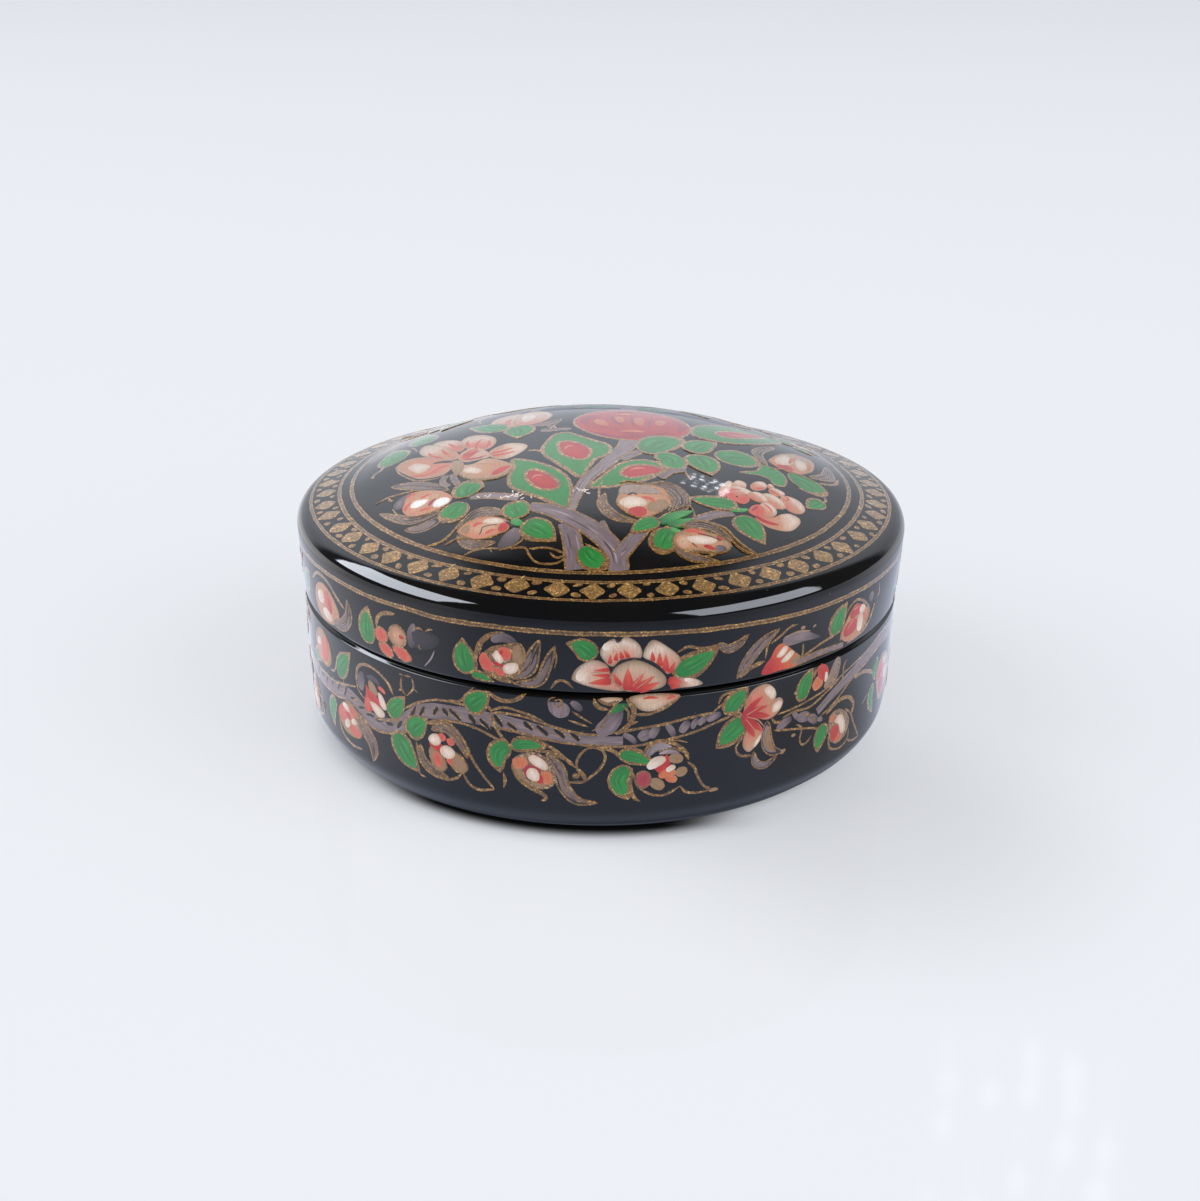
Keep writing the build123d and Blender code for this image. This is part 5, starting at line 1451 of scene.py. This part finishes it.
    # flower at the side
    base.leaf("55.8,19 54.8,17 55.6,14.8", 2.0, rim=0.3)
    base.leaf("54.6,14.8 54,12 55.8,9", 2.0, rim=0.4)
    base.patch("56,15.4 57.4,17.8 60.4,18 63.6,16 65,12.6 62.6,10.4 59,10 57.4,12.4", [BLUSH, PEACH, BEIGE],
        rim=0.3)
    base.dabs("coral", "58.5,15.3,3.8,3,40")
    base.dabs("red", "58.6,15,2.6,1.2,30 59.8,12,3.8,2.6,-50")
    base.dabs("white", "62.2,13.5,3.2,2.2,-40 60.6,16.4,2.6,1.4,-20")


skirt_skin = Skin(lid_outside[lid_outside[:, 1] < 37.9], 1)
base_skin = Skin(base_outside[base_outside[:, 1] > 0.01], 1)
WALL_R = 50
HALF = math.pi * WALL_R
skirt = Sheet("skirt", "lid", lambda s, z, lift: skirt_skin.at(z, s / WALL_R, lift), 86, 25.3, 37, (0, HALF))
base = Sheet("cup", "base", lambda s, z, lift: base_skin.at(z, s / WALL_R, lift), 86, 0, 24.1, (0, HALF))
for apart, width, tone in ((0, 0.5, -0.6), (0.26, 0.32, 0.15), (-0.26, 0.32, 0.15)):
    skirt.gold([(x, z + apart) for x, z in ((-78.7, 34), (-60, 34.2), (-45, 34.4), (-35, 34.35), (-30, 34.5),
        (-24, 34.3), (-16, 34.5), (0, 34.5), (20, 34.3), (36, 34), (45, 34.05), (60, 33.9), (78.7, 34))],
        width, tone=tone)
skirt_left(skirt)
skirt_bud(skirt)
skirt_right(skirt)
wall_vine(base)
great_blossom(skirt, base, 0)
wall_left(base)
wall_bird(base)
wall_front(base)
wall_right(base)
# the sides, which repeat the same motifs more loosely
great_blossom(skirt, base, 71)
sprig(skirt, -74, 29.6, 8, 0.7)
skirt.leaf("-62.4,27 -61,29.6 -58.4,31.6", 2.6)
sprig(base, -68, 21.4, 14, 0.5)
sprig(base, -64, 9.4, -18, 0.8, -1)
sprig(base, 73, 10.4, -14, 0.8)
base.leaf("-72,14.6 -73.6,12 -72.6,8.4", 2.8)
base.golds(0.5, "-70,16 -69.4,19 -68.6,21", "-68.6,14.6 -66.4,12 -64.6,10")
skirt.finish()
base.finish()


# ---- shells
lid_line = np.vstack([lid_outside, lid_inside[1:]])
lid_use = np.concatenate([np.ones(len(lid_outside)), np.zeros(len(lid_inside) - 1)])
base_line = np.vstack([base_inside, base_outside[1:]])
base_use = np.concatenate([np.zeros(len(base_inside)), np.ones(len(base_outside) - 1)])
lid_shell = turned("lid_shell", lid_line, lid_use, "lid", lacquer, inner_lacquer)
base_shell = turned("base_shell", base_line, base_use, "base", lacquer, inner_lacquer)
collar_strip = turned("collar_strip", collar_ring, np.zeros(len(collar_ring)), "base", lacquer,
    inner_lacquer, 256)
for piece, cad, slot in ((lid_shell, "lid", "lid_lacquer"), (base_shell, "base_cup", "base_lacquer"),
        (collar_strip, "collar", "collar_lacquer")):
    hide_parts(cad)


# ---- floor, light, camera
def maths(kind, *values):
    """One Math node, in the tree of the sockets among its values."""
    tree = next(value.id_data for value in values if isinstance(value, bpy.types.NodeSocket))
    return node(tree, "Math", list(enumerate(values)), operation=kind).outputs[0]


def times(a, b):
    """a times b."""
    return maths("MULTIPLY", a, b)


def plus(a, b):
    """a plus b."""
    return maths("ADD", a, b)


def step(value, low, high):
    """Smooth step from 0 at low to 1 at high; with high below low it falls instead."""
    return node(value.id_data, "MapRange", [("Value", value), ("From Min", low), ("From Max", high)],
                interpolation_type="SMOOTHSTEP").outputs["Result"]


def scaled(vector, factor):
    """A vector or colour times a number."""
    return node(factor.id_data, "VectorMath", [(0, vector), ("Scale", factor)], operation="SCALE").outputs[0]


def mixed(share, a, b):
    """Shader a where share is 0, shader b where it is 1."""
    return node(b.id_data, "MixShader", [(0, share), (1, a.outputs[0]), (2, b.outputs[0])])


def round_box(tree, place):
    """Distance from the upright axis, how far a place lies right and back of it (-1 to 1), and its height."""
    axis = node(tree, "SeparateXYZ", [("Vector", place)]).outputs
    reach = maths("SQRT", plus(times(axis["X"], axis["X"]), times(axis["Y"], axis["Y"])))
    safe = maths("MAXIMUM", reach, 0.0001)
    return reach, maths("DIVIDE", axis["X"], safe), maths("DIVIDE", axis["Y"], safe), axis["Z"]


def make_floor():
    """A wide pale sheet of satin acrylic. Half of what the camera sees is its own even glow, which fades out
    close round the foot, and half takes the box's soft shadow; under the foot it is all but black. The
    lacquer mirrors it bluish in front and whiter and brighter at the sides."""
    made, tree, shader = new_material("pale_acrylic_floor")
    half = 3000 * MM
    data = bpy.data.meshes.new("floor")
    corners = [(-half, -half, 0), (half, -half, 0), (half, half, 0), (-half, half, 0)]
    data.from_pydata(corners, [], [(0, 1, 2, 3)])
    data.materials.append(made)
    floor = bpy.data.objects.new("floor", data)
    scene.collection.objects.link(floor)
    settings(shader, Roughness=0.5, Specular_IOR_Level=0.0)
    gloss = node(tree, "BsdfGlossy", [("Color", (1, 1, 1, 1)), ("Roughness", 0.06)])
    sheen = mixed(0.02, shader, gloss)
    place = node(tree, "TexCoord").outputs["Object"]
    reach, right, back, _ = round_box(tree, place)
    path = node(tree, "LightPath").outputs

    def patch(x, y, inner, outer):
        """1 at a spot of the floor, 0 beyond outer mm from it."""
        away = node(tree, "VectorMath", [(0, place), (1, (x * MM, y * MM, 0))], operation="DISTANCE")
        return step(away.outputs["Value"], outer * MM, inner * MM)

    foot_shade = maths("MAXIMUM", 0.02, step(reach, 44.0 * MM, 47.4 * MM))
    front = times(step(right, 0.52, 0.22), step(right, -0.85, -0.55))
    foot_shade = maths("SUBTRACT", 1.0, times(maths("SUBTRACT", 1.0, foot_shade), front))
    shade = times(foot_shade, plus(1.0, times(patch(42, -46, 8, 48), -0.13)))
    settings(shader, Base_Color=scaled(linear("#EEF0F5"), shade))
    seen = node(tree, "Emission", [("Color", scaled(linear("#F2F5FA"), shade)), ("Strength", 1.0)])
    centre = times(0.62, plus(1.0, times(step(reach, 80 * MM, 135 * MM), -0.42)))
    centre = plus(centre, times(patch(62, -33, 10, 36), -0.34))
    sides = plus(times(0.5, step(right, -0.45, -0.95)), times(0.26, step(right, 0.45, 0.95)))
    under = plus(0.12, times(0.88, step(reach, 44.5 * MM, 50 * MM)))
    blue = scaled((0.92, 1.05, 1.42), centre)
    haze = plus(plus(0.16, times(0.45, step(right, -0.02, -0.2))), times(0.2, step(right, 0.05, 0.25)))
    haze = times(haze, times(step(reach, 120 * MM, 170 * MM), step(back, -0.1, 0.4)))
    sides = plus(sides, haze)
    white = scaled((1.06, 1.0, 0.90), sides)
    glow = node(tree, "VectorMath", [(0, blue), (1, white)], operation="ADD").outputs[0]
    mirrored = node(tree, "Emission", [("Color", glow), ("Strength", under)])
    first = mixed(times(path["Is Glossy Ray"], 0.94), sheen, mirrored)
    right_foot = times(step(reach, 40.5 * MM, 45 * MM), step(right, 0.25, 0.6))
    lit = maths("MAXIMUM", step(reach, 43 * MM, 51 * MM), right_foot)
    both = mixed(times(times(path["Is Camera Ray"], lit), 0.52), first, seen)
    settings(tree.nodes["Material Output"], Surface=both.outputs[0])


def make_room():
    """The room: even light for matt surfaces; for the lacquer's mirror a pale sweep behind up to about 58
    degrees, dark above and in front, two softboxes at the left and right front, and a panel of bulbs
    behind."""
    world = bpy.data.worlds.new("studio")
    scene.world = world
    world.use_nodes = True
    tree = world.node_tree
    tree.nodes.clear()
    ray = node(tree, "TexCoord").outputs["Generated"]
    _, _, back, height = round_box(tree, ray)
    under = step(height, 0.93, 0.78)
    behind = step(back, 0.50, 0.66)
    side = node(tree, "SeparateXYZ", [("Vector", ray)]).outputs["X"]
    fall = plus(plus(1.0, times(step(side, 0.05, 0.42), -0.32)), times(step(side, -0.10, -0.40), -0.12))
    sweep = times(times(times(under, behind), fall), plus(0.85, times(0.55, step(height, 0.2, 0.6))))

    def softbox(azimuth, elevation, wide, high, strength, bulbs=0):
        """A soft-edged rectangle on the sky: right and up are dot products with the panel's own axes. Bare
        bulbs lie `bulbs` degrees apart."""
        a, e = math.radians(azimuth), math.radians(elevation)
        out = (math.sin(a) * math.cos(e), -math.cos(a) * math.cos(e), math.sin(e))
        right = (math.cos(a), math.sin(a), 0)
        up = (-math.sin(a) * math.sin(e), math.cos(a) * math.sin(e), math.cos(e))
        dots = [node(tree, "VectorMath", [(0, ray), (1, v)],
            operation="DOT_PRODUCT").outputs["Value"] for v in (out, right, up)]
        ahead = maths("MAXIMUM", dots[0], 0.001)
        mask = step(dots[0], 0.0, 0.05)
        flat = [maths("DIVIDE", dot, ahead) for dot in dots[1:]]
        for dot, reach in zip(flat, (wide, high)):
            edge = math.tan(math.radians(reach))
            mask = times(mask, step(maths("ABSOLUTE", dot), edge * 1.06, edge * 0.97))
        if bulbs:
            across = node(tree, "CombineXYZ", [("X", flat[0]), ("Y", flat[1])]).outputs[0]
            cells = node(tree, "TexVoronoi", [("Vector", across),
                ("Scale", 1 / math.radians(bulbs)), ("Randomness", 0.3)])
            mask = times(mask, step(cells.outputs["Distance"], 0.36, 0.20))
        return times(mask, strength)

    glare = plus(sweep, 0.10)
    panels = [softbox(-86, 30, 26, 16, 11.0), softbox(60, 26, 25, 17, 6.5),
        softbox(162.5, 38.3, 3.0, 2.6, 13.0, 1.25)]
    for panel in panels:
        glare = plus(glare, panel)
    mirror = node(tree, "Background", [("Color", (0.93, 0.98, 1.08, 1)), ("Strength", glare)])
    ahead = times(node(tree, "SeparateXYZ", [("Vector", ray)]).outputs["Y"], -0.28)
    even_light = node(tree, "Background", [("Color", (*linear("#F6F8FB"), 1)), ("Strength", plus(0.6, ahead))])
    seen = node(tree, "Background", [("Color", (*linear("#EDEFF4"), 1)), ("Strength", 1.0)])
    path = node(tree, "LightPath").outputs
    last = mixed(path["Is Camera Ray"], mixed(path["Is Glossy Ray"], even_light, mirror), seen)
    settings(node(tree, "OutputWorld"), Surface=last.outputs[0])


def softbox_lamp(name, azimuth, elevation, distance, width, height, watts):
    """An area lamp facing the box's middle; it lights matt colour only: the room draws its mirror image."""
    a, e = math.radians(azimuth), math.radians(elevation)
    lamp = bpy.data.lights.new(name, "AREA")
    lamp.shape, lamp.size, lamp.size_y, lamp.energy = "RECTANGLE", width, height, watts
    lamp.color = (1.0, 0.99, 0.975)
    holder = bpy.data.objects.new(name, lamp)
    holder.location = (distance * math.sin(a) * math.cos(e), -distance * math.cos(a) * math.cos(e),
        distance * math.sin(e) + 25 * MM)
    holder.rotation_euler = (math.pi / 2 - e, 0, a)
    holder.visible_glossy = False
    scene.collection.objects.link(holder)


make_floor()
make_room()
softbox_lamp("left_softbox", -80, 36, 2.5, 2.1, 1.8, 26.0)
softbox_lamp("right_softbox", 60, 34, 2.5, 2.1, 1.8, 22.0)


def make_camera():
    """51 mm lens on a 36 mm sensor, aimed at the point 19.1 mm up the box's axis from 22.39 degrees above."""
    lens_mm, distance, elevation, roll, aim = 51.08, 290.5, math.radians(22.39), math.radians(-0.63), 19.1
    data = bpy.data.cameras.new("camera")
    data.lens, data.sensor_width, data.clip_start, data.clip_end = lens_mm, 36.0, 0.01, 20.0
    camera = bpy.data.objects.new("camera", data)
    camera.location = (0, -distance * math.cos(elevation) * MM, (aim + distance * math.sin(elevation)) * MM)
    camera.rotation_euler = (math.pi / 2 - elevation, 0, 0)
    camera.rotation_mode = "XYZ"
    scene.collection.objects.link(camera)
    camera.rotation_euler.rotate_axis("Z", -roll)
    scene.camera = camera


make_camera()
scene.view_settings.view_transform = "Standard"
